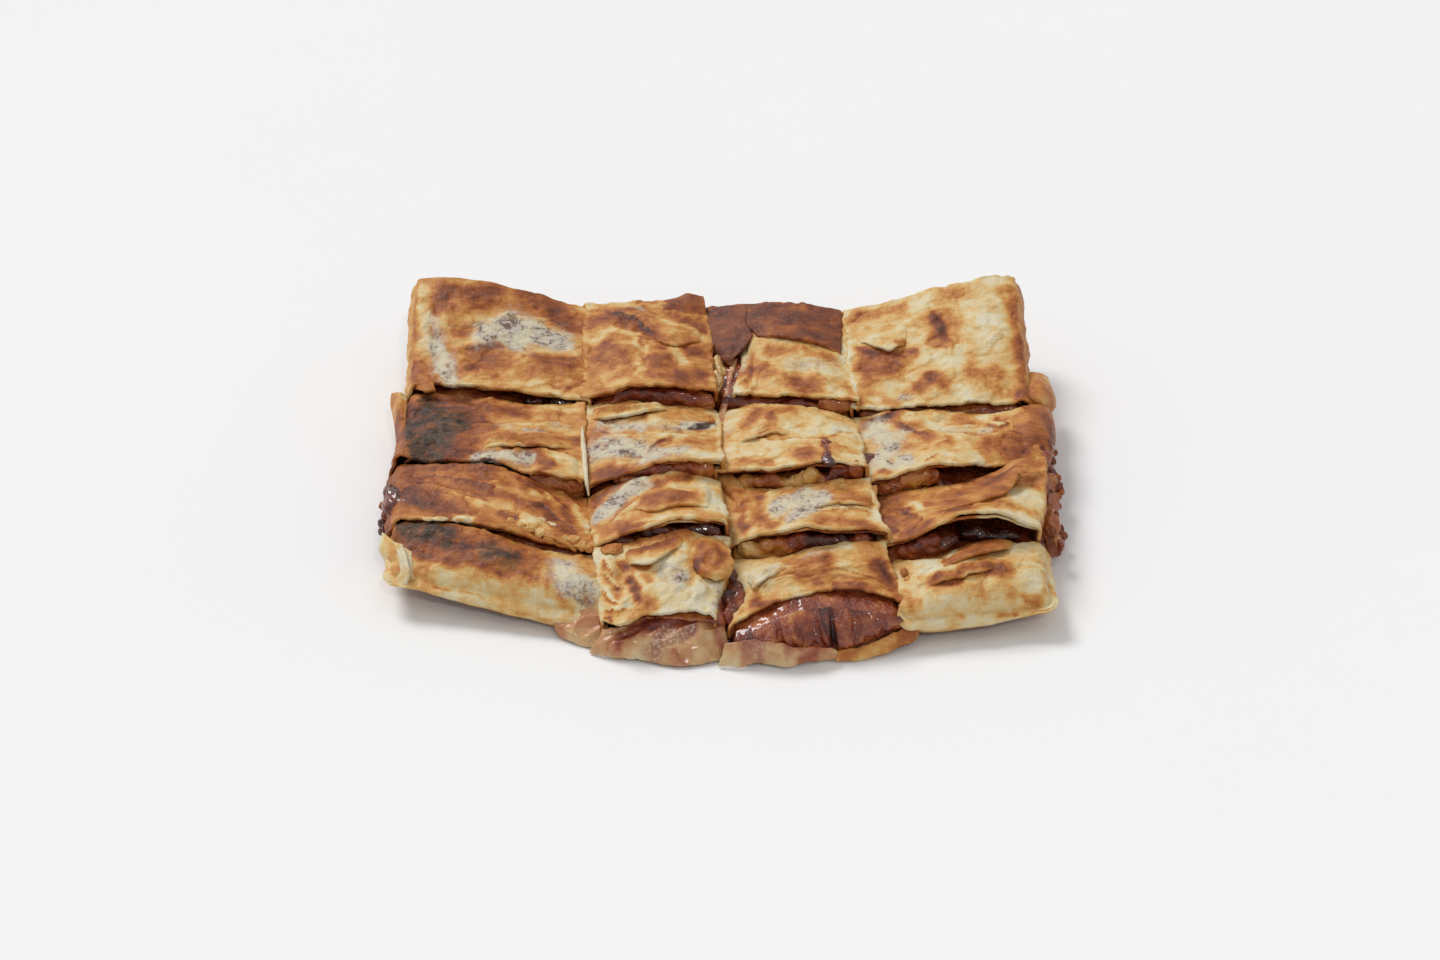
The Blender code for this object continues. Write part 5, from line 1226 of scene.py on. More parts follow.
def baked(piece, x, y, level, table, shade=0.0, wet=0.0, side=None):
    """How the skin is fried at a place: browned, charred, stained by the filling, and wet. The shade that
    is given adds painted shade and highlight, and paler cut edges, to how brown it is. A side is the share
    of the way down it and how brown it is there."""
    seed = number(piece)
    patches = rough(x, y, 15, seed + 11)
    spots = rough(x + 2 * patches, y, 6, seed + 12)
    toast = level + 0.15 * patches + 0.13 * spots
    # A few of the browning strokes are painted shadows under flaps, lips and folds.
    browned = marks(BROWNED_AND_PAINTED_SHADOWS, table, x, y) * (0.88 + 0.3 * rough(x, y, 5, seed + 18))
    toast = toast - marks(PALE, table, x, y) * (toast - PALEST) * 0.85
    toast = toast + browned * (BROWNEST - toast) + shade
    char = marks(CHARRED, table, x, y) * (0.85 + 0.5 * rough(x, y, 4, seed + 14))
    stain = marks(STAINED, table, x, y) * (1.0 + 0.5 * rough(x, y, 6, seed + 15))
    if side is not None:
        share, brown = side
        own = brown + 0.16 * rough(x, y + share * 24, 7, seed + 16)
        toast = mix(toast, own, ease((share - 0.04) / 0.4) * (1 - 0.7 * np.minimum(1, browned * 1.5)))
        toast = toast + 0.3 * ease((share - 0.7) / 0.2) * ease(0.5 + 1.4 * rough(x, y, 9, seed + 17))
        char, stain = char * (1 - share), stain * (1 - ease(share * 2))
    return np.clip(np.stack([toast, char, stain, np.full_like(toast, wet)], axis=-1), 0, 1)


def pale_edge(away):
    """A cut edge is a little paler than the skin behind it."""
    return -EDGE_PALE * np.exp(-away / EDGE_WIDTH)


# Meshes


def pick_out(things):
    """Selects these things alone and makes the first one active."""
    bpy.ops.object.select_all(action="DESELECT")
    for thing in things:
        thing.select_set(True)
    bpy.context.view_layer.objects.active = things[0]


def merge(things):
    """Joins several things into the first one."""
    pick_out(things)
    if len(things) > 1:
        bpy.ops.object.join()
    return things[0]


def modify(thing, kind, **values):
    """Applies one modifier."""
    pick_out([thing])
    change = thing.modifiers.new(kind.lower(), kind)
    for key, value in values.items():
        setattr(change, key, value)
    bpy.ops.object.modifier_apply(modifier=change.name)


def read_points(thing, what="co"):
    """A thing's points in metres, or its normals, as rows of three."""
    flat = np.empty(len(thing.data.vertices) * 3)
    thing.data.vertices.foreach_get(what, flat)
    return flat.reshape(-1, 3)


def move_points(thing, points):
    thing.data.vertices.foreach_set("co", points.ravel())
    thing.data.update()


def keep_bake(thing, bake):
    """Keeps how each point is fried. A single number for each point goes into the first channel."""
    if bake.ndim == 1:
        bake = np.clip(bake, 0, 1)[:, None] * (1, 0, 0, 0)
    layer = thing.data.attributes.new("bake", "FLOAT_COLOR", "POINT")
    layer.data.foreach_set("color", bake.ravel())


def grid(name, columns, rows):
    """A flat sheet of square cells with its two coordinates from 0 to 1."""
    bpy.ops.mesh.primitive_grid_add(x_subdivisions=max(2, columns), y_subdivisions=max(2, rows), size=1)
    sheet = bpy.context.object
    sheet.name = name
    s, t, _ = read_points(sheet).T + 0.5
    return sheet, s, t


def shape(sheet, x, y, z, bake, thickness=0.0):
    """Moves a sheet's points into place, keeps how it is fried and gives it its thickness."""
    move_points(sheet, np.stack([x, y, z], axis=-1) * MM)
    keep_bake(sheet, bake)
    if thickness:
        modify(sheet, "SOLIDIFY", thickness=thickness * MM, offset=-1)
    return sheet


def make_piece(sheets, name, finish, nodes):
    """Makes one piece of several sheets and gives it its place in the model."""
    piece = merge(sheets)
    piece.name = piece.data.name = name
    points = read_points(piece)
    points[:, 2] = np.maximum(points[:, 2], FLOOR_GAP * MM + 0.02 * points[:, 2])
    move_points(piece, points)
    bpy.ops.object.shade_smooth()
    piece.data.materials.clear()
    piece.data.materials.append(finish)
    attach(piece, "root")
    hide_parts(*nodes)


def down_wall(share):
    return np.clip((share - SHOULDER_SHARE) / WALL_SHARE, 0, 1)


def side_path(share, height, radius, skirt):
    """Out and down along a side: a round shoulder, then a wall to the floor or a short skirt in the cut."""
    if skirt:
        turn = np.minimum(share * 2, 1) * math.pi / 2
        return radius * np.sin(turn), radius * (1 - np.cos(turn)) + np.maximum(0, share * 2 - 1) * skirt
    turn = np.minimum(share / SHOULDER_SHARE, 1) * math.pi / 2
    wall = down_wall(share)
    foot_start = SHOULDER_SHARE + WALL_SHARE
    tuck = np.clip((share - foot_start) / (1 - foot_start), 0, 1) * math.pi / 2
    bulge = WALL_BULGE * np.sin(math.pi * wall) ** 0.8
    fall = np.maximum(0, height - radius - FOOT_RADIUS) * wall
    out = radius * np.sin(turn) + bulge - FOOT_RADIUS * (1 - np.cos(tuck))
    return out, radius * (1 - np.cos(turn)) + fall + FOOT_RADIUS * np.sin(tuck)


def beyond(away, wrap):
    """Share of the way down a side, 0 where a place is still on top."""
    return np.maximum(0, away) / max(wrap, TINY)


def drape(name, piece, step, edges):
    """Lays a sheet over a piece, with each edge's inset, radius, skirt and wrap. Returns the sheet, its
    place on the plan, shares, share of the way down a side, the side's direction and how far it dropped."""
    width, depth = size(piece)
    left, right, front, back = (edges[side] for side in SIDES)
    inner = (width - left["inset"] - right["inset"], depth - front["inset"] - back["inset"])
    full = (inner[0] + left["wrap"] + right["wrap"], inner[1] + front["wrap"] + back["wrap"])
    sheet, s, t = grid(name, int(full[0] / step), int(full[1] / step))
    a, b = s * full[0] - left["wrap"], t * full[1] - front["wrap"]
    u = (left["inset"] + np.clip(a, 0, inner[0])) / width
    v = (front["inset"] + np.clip(b, 0, inner[1])) / depth
    ox = beyond(a - inner[0], right["wrap"]) - beyond(-a, left["wrap"])
    oy = beyond(b - inner[1], back["wrap"]) - beyond(-b, front["wrap"])
    share = np.clip(np.maximum(np.abs(ox), np.abs(oy)), 0, 1)
    safe = np.maximum(share, TINY)
    turn = np.where(np.abs(ox) >= np.abs(oy), np.abs(oy) / safe, 2 - np.abs(ox) / safe) * math.pi / 4
    hx, hy = np.cos(turn) * np.sign(ox) * (share > 0), np.sin(turn) * np.sign(oy) * (share > 0)
    x, y = plan(piece, u, v)
    height = bare_top(piece, u, v) - floor_height(x, y)
    out, down = np.zeros_like(x), np.zeros_like(x)
    weights = (hx * hx * (hx < 0), hx * hx * (hx > 0), hy * hy * (hy < 0), hy * hy * (hy > 0))
    for side, weight in zip(SIDES, weights):
        side_out, side_down = side_path(share, height, edges[side]["radius"], edges[side]["skirt"])
        out, down = out + weight * side_out, down + weight * side_down
    corner = 1 + CORNER_REACH * np.sin(2 * turn) ** 2
    x, y = x + hx * out * corner, y + hy * out * corner
    return sheet, x, y, u + hx * out / width, v + hy * out / depth, share, hx, hy, down


def frayed(piece, x, y, u, v, seed, amount=1.0):
    """Moves the open edges in and out so that the cuts look torn, not sawn."""
    near = to_sides(piece, u, v)
    for side, outward in zip(SIDES, (-1, 1, -1, 1)):
        if side in closed_sides(piece):
            continue
        sideways = side in ("left", "right")
        place = y if sideways else x
        broad, fine = rough(place, place * 0 + seed, 15, seed + 5, 2), rough(place, place * 0, 4, seed + 8)
        shift = outward * amount * (0.8 * broad + 0.5 * fine) * ease(1.3 - near[side] / FRAY_REACH)
        x, y = (x + shift, y) if sideways else (x, y + shift)
    return x, y, near


def skin_edges(piece, inner):
    """How a skin meets each side: folded down to the floor, or with a short skirt into the cut."""
    edges = {}
    for side in SIDES:
        closed = side in closed_sides(piece)
        folded = closed and not inner
        radius, inset, wrap = CUT_RADIUS, CUT_INSET, CUT_WRAP
        if closed:
            radius = OWN_FOLD_RADIUS.get(piece + side, FOLD_RADIUS)
            inset = radius + (INNER_INSET if inner else 0)
            wrap = FOLD_WRAP if folded else CUT_WRAP
        elif side == "front":
            inset, wrap = LIP_INSET + inner, 0.0
        if piece + side in SEAMS:
            radius, inset = SEAM_RADIUS, SEAM_INSET
        skirt = 0 if folded else SKIRTS[side]
        edges[side] = {"inset": inset, "radius": radius, "wrap": wrap, "skirt": skirt}
    return edges


def main_sheet(piece, step, thickness, level, drop=0.0, seed=0):
    """The skin over a piece, with torn cut edges and its closed sides folded down to the floor. One that
    drops is the layer inside it."""
    closed = closed_sides(piece)
    flank, end = "left" if piece[1] == "1" else "right", "front" if piece[0] == "d" else "back"
    sheet, x, y, u, v, share, hx, hy, down = drape("sheet", piece, step, skin_edges(piece, drop))
    mark = number(piece) + seed
    x, y, near = frayed(piece, x, y, u, v, mark)
    inside = np.clip(u, 0, 1), np.clip(v, 0, 1)
    top, shade = surface(piece, x, y, *inside)
    top = top - drop
    if piece in SET_BACK:
        y = y + through(SET_BACK[piece], u) * ease(1 - near["front"] / SET_BACK_REACH)
    for side, inward in (("left", 1), ("right", -1)):
        if piece + side in NOTCHES:
            x = x + inward * through(NOTCHES[piece + side], v) * ease(1 - near[side] / NOTCH_REACH)
    y = y - TOES.get(piece, 0) * np.maximum(0, -hy) * ease(share * 1.6 - 0.3)
    bulge = 0.8 * rough(x + top, y - down, 9, mark + 9) * ease(share * 4) * ease(4 - share * 4)
    x, y = x + hx * bulge, y + hy * bulge
    under = underside(piece, x, y, *inside) + 0.3
    tall = bare_top(piece, u, v) - floor_height(*plan(piece, *inside))
    is_closed = (hx * hx * (flank in closed) + hy * hy * (end in closed)) * (drop == 0)
    z = np.maximum(top - down * mix(1.0, (top - under) / tall, is_closed), under + drop * 0.4)
    brown = (hx * hx * closed.get(flank, 0) + hy * hy * closed.get(end, 0)) / np.maximum(is_closed, TINY)
    cut = np.minimum.reduce([near[side] for side in ("left", "right", "front") if side not in closed])
    # Cut edges are a little paler; the skirts that hang into the cuts turn browner further down, as painted
    # shade.
    shade = shade + pale_edge(np.maximum(cut, 0)) + 0.3 * ease(share * (is_closed < 0.01) * 1.3)
    side = (share * (is_closed > 0.01), brown)
    fold = down * is_closed
    bake = baked(piece, x + 0.7 * hx * fold, y + 1.5 * hy * fold, level, piece, shade=shade, side=side)
    return shape(sheet, x, y, z, bake, thickness)


def as_points(rows):
    """Rows of bare numbers from back to front as rows of points from front to back."""
    return [np.array(row, float).reshape(-1, 3) for row in rows][::-1]


def drawn(rows, s, t):
    """Places on the smooth sheet through rows of points."""
    return through([through(row, s) for row in rows], t)


def flap(spec, count, step):
    """A layer of dough drawn through rows of points. A bound one lies on its piece, sinks into the skin at
    the back and the sides, and ends in a free lip at the front. A loose one hangs where its points are."""
    piece, hold, level, thickness, ragged, table, rows = spec
    rows = as_points(rows)
    measured = (1, 1, 0) if hold == "bound" else (1, 1, 1)
    reach = np.stack([through(row, np.linspace(0, 1, 7)) for row in rows]) * measured
    across = np.linalg.norm(np.diff(reach, axis=1), axis=2).sum(axis=1).mean()
    along = np.linalg.norm(np.diff(reach, axis=0), axis=2).sum(axis=0).mean()
    sheet, s, t = grid("flap", int(across / step), int(along / step))
    torn = [
        0.5 * ragged * (1 + rough(place, place * 0, 5, 60 + 17 * count + k) * 1.4) / length
        for k, (place, length) in enumerate([(t * along, across)] * 2 + [(s * across, along)] * 2)
    ]
    s = torn[0] + s * (1 - torn[0] - torn[1])
    t = torn[2] + t * (1 - torn[2] - torn[3])
    x, y, z = drawn(rows, s, t).T
    sides, behind = np.minimum(s, 1 - s) * across, (1 - t) * along
    rim = np.minimum(sides, t * along)
    shade = pale_edge(rim)
    if hold == "bound":
        u, v = unplan(piece, x, y)
        top, under = surface(piece, x, y, np.clip(u, 0, 1), np.clip(v, 0, 1))
        up = ease(sides / (FLAP_SIDE * across)) * ease(behind / (FLAP_BACK * along))
        z = top + z * up - (thickness + 0.2) * (1 - ease(up * 2.5)) + 0.25 * rough(x, y, 7, 40 + count) * up
        # Where a bound flap sinks into the skin it takes the skin's painted shade and highlight.
        shade = shade * up + 0.5 * under * (1 - up)
    else:
        z = z + 0.5 * rough(x, y, 8, 40 + count) + 0.15 * rough(x, y, 2.5, 44 + count)
    if level < 0:
        ridge = 1 - np.abs(ripple((x + 0.5 * y) / 13, (y - 0.35 * x) / 4.5, 57))
        z = z + 1.0 * ease((ridge - 0.5) / 0.5) * ease(rim / 3)
    if table.endswith("knob"):
        dx, dy = x - x.mean(), y - y.mean()
        away = np.hypot(dx / 7, dy / 11)
        coil = np.cos(np.arctan2(dy, dx) - 7 * away + 2 * rough(x, y, 6, 61)) * ease(1.3 - away)
        # Painted highlight on the coil's ridges and painted shade in its grooves.
        z, shade = z + 0.45 * coil, shade - 0.12 * coil
    bake = baked(piece, x, y, abs(level), table, shade=shade, wet=float(level < 0))
    if level > 0.7:
        edge = np.exp(-t * along / 0.7) * (0.5 + rough(x, y, 7, 8))
        bake[:, 0] = np.clip(level + 0.12 * rough(x, y, 9, 9) - 0.35 * edge, 0, 1)
    return shape(sheet, x, y, z, bake, thickness)


def base_sheet(piece, step):
    """The skin below, browned by the pan, just longer than the filling."""
    width, depth = size(piece)
    sheet, s, t = grid("base", int(width / step), int(depth / step))
    inset = {side: BASE_INSET["closed" if side in closed_sides(piece) else "cut"] for side in SIDES}
    if piece in LIFTED:
        inset["front"] = BASE_INSET["lifted front"]
    u = (inset["left"] + s * (width - inset["left"] - inset["right"])) / width
    v = (inset["front"] + t * (depth - inset["front"] - inset["back"])) / depth
    x, y = plan(piece, u, v)
    x, y, near = frayed(piece, x, y, u, v, 505, 0.8)
    edge = np.minimum.reduce(list(near.values()))
    z = underside(piece, x, y, u, v) + BASE_HEIGHT + 0.5 * ease(1 - edge / 3) * (0.5 + rough(x, y, 7, 505))
    bake = baked(piece, x, y, 0.6, piece)
    bake[:, 1:3] *= 0.3
    return shape(sheet, x, y, z, bake, BASE_THICKNESS)


def slab(piece, step):
    """The filling: a soft, lumpy block with rounded faces at the cuts."""
    edges = {}
    for side in SIDES:
        inset = SLAB_RADIUS + SLAB_INSET["closed" if side in closed_sides(piece) else "cut"]
        edges[side] = {"inset": inset, "radius": SLAB_RADIUS, "wrap": SLAB_WRAP, "skirt": 0}
    sheet, x, y, u, v, share, hx, hy, down = drape("slab", piece, step, edges)
    swell = 0.8 * rough(x + down, y - down, 7, 700 + number(piece), 4) * ease(share * 5)
    swell = swell - SLAB_HOLLOW * np.sin(math.pi * down_wall(share))
    x, y = x + hx * swell, y + hy * swell
    y = y + SLAB_SET_BACK.get(piece, 0) * np.maximum(0, -hy) * ease(share * 3)
    top = bare_top(piece, u, v) - SLAB_BELOW + 0.5 * rough(x, y, 7, 720)
    for cu, cv, ru, rv, deep in HOLLOWS.get(piece, ()):
        top = top - deep * ease(1.4 - np.hypot((u - cu) / ru, (v - cv) / rv))
    z = np.maximum(top - down * 0.92, underside(piece, x, y, u, v) + SLAB_ABOVE)
    shape(sheet, x, y, z, np.zeros_like(x))
    bpy.ops.object.mode_set(mode="EDIT")
    bpy.ops.mesh.select_all(action="DESELECT")
    bpy.ops.mesh.select_mode(type="EDGE")
    bpy.ops.mesh.select_non_manifold()
    bpy.ops.mesh.edge_face_add()
    bpy.ops.object.mode_set(mode="OBJECT")
    return sheet


def open_front():
    """The glossy filling that bulges out of the open front, in hanging folds with one slit. The slit has
    painted shade and the crests of the folds a painted highlight.
    """
    sheet, s, t = grid("front", *FRONT_CELLS)
    x, y, z = drawn(as_points(OPEN_FRONT), s, t).T
    sway = x + 1.6 * rough(x, z, 8, 801) + 0.25 * (z - 6)
    pleat = 1 - np.abs(ripple(sway / 4.2, z / 22, 803))
    fine = rough(sway * 1.5, z * 0.8, 2.6, 805)
    full = np.sin(math.pi * np.clip(t, 0.02, 0.98)) ** 0.6
    y = y - full * (2.6 * ease(pleat * 1.1) - 1.3 + 0.5 * fine + 0.25 * rough(x, z, 1.3, 808))
    y = y - full * 0.9 * rough(x, z, 14, 806)
    slit = np.exp(-(((x - SLIT_X + 0.15 * (z - 6)) / SLIT_WIDTH) ** 2)) * full
    y = y + SLIT_DEPTH * slit
    # Painted shade in the slit, and a painted highlight on the crests of the folds.
    tones = 0.29 + 0.28 * rough(sway, z, 6, 807) - 0.35 * slit
    tones = tones + 0.14 * ease(pleat) + 0.16 * ease((4 - z) / 3)
    for middle, reach, brighter in FRONT_TONES:
        tones = tones + brighter * np.exp(-(((x - middle) / reach) ** 2))
    return shape(sheet, x, y, z, tones + 0.25 * ease((x - 57) / 5), FRONT_THICKNESS)


def lump(x, y, z, rx, ry, rz, level=0.0, seed=0):
    """A soft, uneven lump."""
    bpy.ops.mesh.primitive_ico_sphere_add(subdivisions=4, radius=1)
    ball = bpy.context.object
    px, py, pz = read_points(ball).T
    swell = 1 + 0.38 * rough(px * 3 + pz, py * 3 - pz * 2, 2.4, 900 + seed)
    tones = level + 0.14 * rough(px * 3, pz * 3 + py, 2, 950 + seed)
    return shape(ball, x + px * rx * swell, y + py * ry * swell, z + pz * rz * swell, tones)


def melt(parts, cell, grain, seed):
    """Runs overlapping lumps into one soft mass, with a fine crumb on its face."""
    mass = merge(parts)
    modify(mass, "REMESH", mode="VOXEL", voxel_size=cell * MM)
    modify(mass, "SMOOTH", iterations=MELT_ROUNDS)
    points = read_points(mass)
    x, y, z = points.T / MM
    push = grain * (rough(x + 0.7 * z, y - 0.8 * z, 5, seed) + 0.6 * rough(x - z, y + z, 2.2, seed + 3))
    move_points(mass, points + read_points(mass, "normal") * push[:, None] * MM)
    return mass, x, y, z


# Materials


def srgb(code):
    """A colour from six hexadecimal digits."""
    channels = [int(code[k : k + 2], 16) / 255 for k in (0, 2, 4)]
    return (*[c / 12.92 if c <= 0.04045 else ((c + 0.055) / 1.055) ** 2.4 for c in channels], 1.0)


class Paint:
    """A material's nodes, added one after another. A colour may be given as six hexadecimal digits."""

    def __init__(self, name):
        self.material = bpy.data.materials.new(name)
        self.material.use_nodes = True
        self.tree = self.material.node_tree
        self.place = self.add("ShaderNodeTexCoord").outputs["Object"]

    def feed(self, node, inputs):
        for key, value in inputs.items():
            if isinstance(value, bpy.types.NodeSocket):
                self.tree.links.new(value, node.inputs[key])
            else:
                node.inputs[key].default_value = srgb(value) if isinstance(value, str) else value

    def add(self, kind, inputs=None, **values):
        node = self.tree.nodes.new(kind)
        for key, value in values.items():
            setattr(node, key, value)
        self.feed(node, inputs or {})
        return node

    def bake(self):
        """How each point is fried: browned, charred, stained and wet. The first channel also carries
        painted shade and light.
        """
        fried = self.add("ShaderNodeAttribute", attribute_name="bake").outputs
        parts = self.add("ShaderNodeSeparateColor", {"Color": fried["Color"]}).outputs
        return parts["Red"], parts["Green"], parts["Blue"], fried["Alpha"]

    def noise(self, scale, detail=3.0, sharp=0.55, warp=0.0, stretch=None):
        place = self.place
        if stretch:
            place = self.add("ShaderNodeMapping", {"Vector": place, "Scale": stretch}).outputs["Vector"]
        inputs = {"Vector": place, "Scale": scale, "Detail": detail, "Roughness": sharp, "Distortion": warp}
        return self.add("ShaderNodeTexNoise", inputs).outputs["Fac"]

    def math(self, kind, a, b=0.0, c=0.0, clamp=False):
        return self.add("ShaderNodeMath", {0: a, 1: b, 2: c}, operation=kind, use_clamp=clamp).outputs[0]

    def plus(self, value, amount, other):
        """Adds an amount of another value."""
        return self.math("MULTIPLY_ADD", other, amount, value)

    def vary(self, value, amount, noise, clamp=False):
        """Moves a value up and down with a noise."""
        return self.math("MULTIPLY_ADD", self.math("SUBTRACT", noise, 0.5), amount, value, clamp)

    def span(self, value, low, high, to_low=0.0, to_high=1.0):
        inputs = {"Value": value, "From Min": low, "From Max": high, "To Min": to_low, "To Max": to_high}
        return self.add("ShaderNodeMapRange", inputs, interpolation_type="SMOOTHSTEP").outputs[0]

    def ramp(self, value, stops):
        node = self.add("ShaderNodeValToRGB", {"Fac": value})
        points = node.color_ramp.elements
        while len(points) < len(stops):
            points.new(0.5)
        for point, (place, code) in zip(points, stops.items()):
            point.position = place
            point.color = srgb(code)
        return node.outputs["Color"]

    def blend(self, share, a, b, kind="MIX"):
        node = self.add("ShaderNodeMix", {0: share, 6: a, 7: b}, data_type="RGBA", blend_type=kind)
        return node.outputs[2]

    def grey(self, value):
        return self.add("ShaderNodeCombineColor", {0: value, 1: value, 2: value}).outputs[0]

    def bump(self, height, distance, strength):
        inputs = {"Height": height, "Distance": distance, "Strength": strength}
        return self.add("ShaderNodeBump", inputs).outputs["Normal"]

    def finish(self, inputs):
        """Feeds the shader and returns the material."""
        self.feed(self.tree.nodes["Principled BSDF"], inputs)
        return self.material


def dough_material():
    """Fried dough: browned, charred, pale where the filling shows through, and glossy where it is wet. Its
    browning carries painted shade and highlight, and its wet film painted glints.
    """
    paint = Paint("fried dough")
    toast, char, stain, wet = paint.bake()
    broad, fine, grain = paint.noise(240, 5, 0.6), paint.noise(1100, 3), paint.noise(3800, 2)
    mottle, fibre = paint.noise(130, 6, 0.62), paint.noise(330, 4, 0.6, 0.6, (0.3, 1, 1))
    for amount, noise in ((0.5, mottle), (0.22, broad), (0.34, fibre)):
        toast = paint.vary(toast, amount, noise)
    toast = paint.vary(toast, 0.14, fine, clamp=True)
    colour = paint.ramp(toast, {
        0.0: "e2d7b9", 0.12: "e0ca99", 0.24: "dcb16c", 0.37: "cd8d47",
        0.52: "b0672f", 0.67: "8c4a26", 0.84: "623323", 1.0: "3a221b",
    })
    clump = paint.noise(150, 3)
    speckle = paint.span(paint.plus(paint.noise(400, 6, 0.66, 1.1), 0.6, clump), 0.79, 0.97)
    pale = paint.blend(paint.span(clump, 0.38, 0.6), "d8cdae", "c9bfae")
    shows = paint.span(paint.vary(stain, 1.1, broad), 0.1, 0.95)
    colour = paint.blend(shows, colour, paint.blend(speckle, pale, "7a6058"))
    burnt = paint.blend(paint.span(paint.noise(520, 5, 0.65), 0.4, 0.64), "2e2017", "5f442f")
    colour = paint.blend(paint.span(paint.vary(char, 1.1, mottle), 0.2, 0.95), colour, burnt)
    film = paint.ramp(toast, {
        0.0: "dcc69a", 0.2: "d2a874", 0.4: "bf8056", 0.6: "a05234", 0.78: "7a3220", 1.0: "4a1c14",
    })
    glints = paint.blend(paint.span(paint.noise(900, 4, 0.6), 0.48, 0.66), "8e5a4c", "dcc4ac")
    film = paint.blend(paint.math("MULTIPLY", stain, 0.8), film, glints)
    crumb = paint.grey(paint.span(grain, 0.3, 0.7, 0.93, 1.05))
    dull = settings().dough_roughness
    dull = paint.span(fine, 0.3, 0.7, dull - 0.12, dull + 0.1)
    height = paint.plus(paint.plus(paint.plus(broad, 0.16, grain), 0.45, fine), 0.8, fibre)
    return paint.finish({
        "Base Color": paint.blend(1.0, paint.blend(wet, colour, film), crumb, "MULTIPLY"),
        "Roughness": paint.plus(dull, -0.22, wet),
        "Coat Weight": paint.math("MULTIPLY", wet, 0.5),
        "Coat Roughness": 0.15,
        "Normal": paint.bump(height, 0.0011, 0.55),
        "Specular IOR Level": 0.32,
    })


def filling_material():
    """Melted chocolate with banana worked into it, glossy and uneven."""
    paint = Paint("chocolate filling")
    level = paint.bake()[0]
    broad, fine = paint.noise(280, 4), paint.noise(1000, 3)
    colour = paint.ramp(paint.vary(level, 0.5, broad, clamp=True), {
        0.0: "26100a", 0.2: "521c0f", 0.42: "8c3a1b", 0.6: "b2622c",
        0.78: "cc9040", 0.92: "e0ae60", 1.0: "e8c384",
    })
    return paint.finish({
        "Base Color": colour,
        "Roughness": paint.span(fine, 0.3, 0.7, 0.1, 0.3),
        "Normal": paint.bump(paint.plus(broad, 0.5, fine), 0.0016, 0.9),
        "Specular IOR Level": 0.4,
        "Coat Weight": 0.8,
        "Coat Roughness": 0.07,
    })


def banana_material():
    """Soft, cooked banana with brown threads."""
    paint = Paint("cooked banana")
    ripe = paint.bake()[0]
    broad, fine = paint.noise(350, 3), paint.noise(1600, 3)
    colour = paint.ramp(paint.vary(ripe, 0.6, broad, clamp=True), {
        0.4: "8a4f22", 0.65: "b57c34", 0.85: "cfa04a", 1.0: "dcbb70",
    })
    return paint.finish({
        "Base Color": paint.blend(paint.span(fine, 0.55, 0.75), colour, "8a5426"),
        "Roughness": paint.span(fine, 0.3, 0.7, 0.25, 0.5),
        "Normal": paint.bump(fine, 0.0005, 0.6),
    })


def floor_material():
    """A nearly even, pale floor."""
    paint = Paint("pale floor")
    value = settings().floor_tone
    return paint.finish({
        "Base Color": paint.grey(paint.span(paint.noise(3, 2), 0.3, 0.7, value - 0.004, value + 0.004)),
        "Roughness": paint.span(paint.noise(40, 2), 0.3, 0.7, 0.6, 0.7),
        "Specular IOR Level": 0.1,
    })


# Settings, steps and panel


def settings():
    return bpy.context.scene.murtabak


class MurtabakSettings(bpy.types.PropertyGroup):
    skin_thickness: bpy.props.FloatProperty(
        name="Skin", description="Thickness of the skin on top", default=0.001, precision=4, unit="LENGTH"
    )
    cell: bpy.props.FloatProperty(
        name="Cell", description="Size of the skin's cells", default=0.0006, precision=5, unit="LENGTH"
    )
    dough_roughness: bpy.props.FloatProperty(
        name="Dough roughness", description="How dull the fried dough is", default=0.5, subtype="FACTOR"
    )
    floor_tone: bpy.props.FloatProperty(
        name="Floor", description="How pale the floor is", default=0.93, subtype="FACTOR"
    )


class MURTABAK_OT_dough(bpy.types.Operator):
    """Makes each piece's wrapper: its skin, the layer inside it, the flaps on top and the skin below"""

    bl_idname = "murtabak.dough"
    bl_label = "Dough"

    def execute(self, context):
        step, skin = settings().cell / MM, settings().skin_thickness / MM
        finish = dough_material()
        for piece in PIECES:
            sheets = [main_sheet(piece, step, thickness=skin, level=PIECES[piece][4])]
            sheets.append(main_sheet(piece, INNER_CELL, thickness=0.8, level=0.62, drop=1.7, seed=5))
            for count, spec in enumerate(FLAPS):
                if spec[0] == piece:
                    sheets.append(flap(spec, count, step))
            for count, spec in enumerate(CRUMBS.get(piece, ())):
                sheets.append(lump(*spec, seed=300 + 7 * count))
            sheets.append(base_sheet(piece, INNER_CELL))
            nodes = ["skin_" + piece] + (["base_" + piece] if "base_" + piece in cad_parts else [])
            make_piece(sheets, "dough_" + piece, finish, nodes)
        return {"FINISHED"}


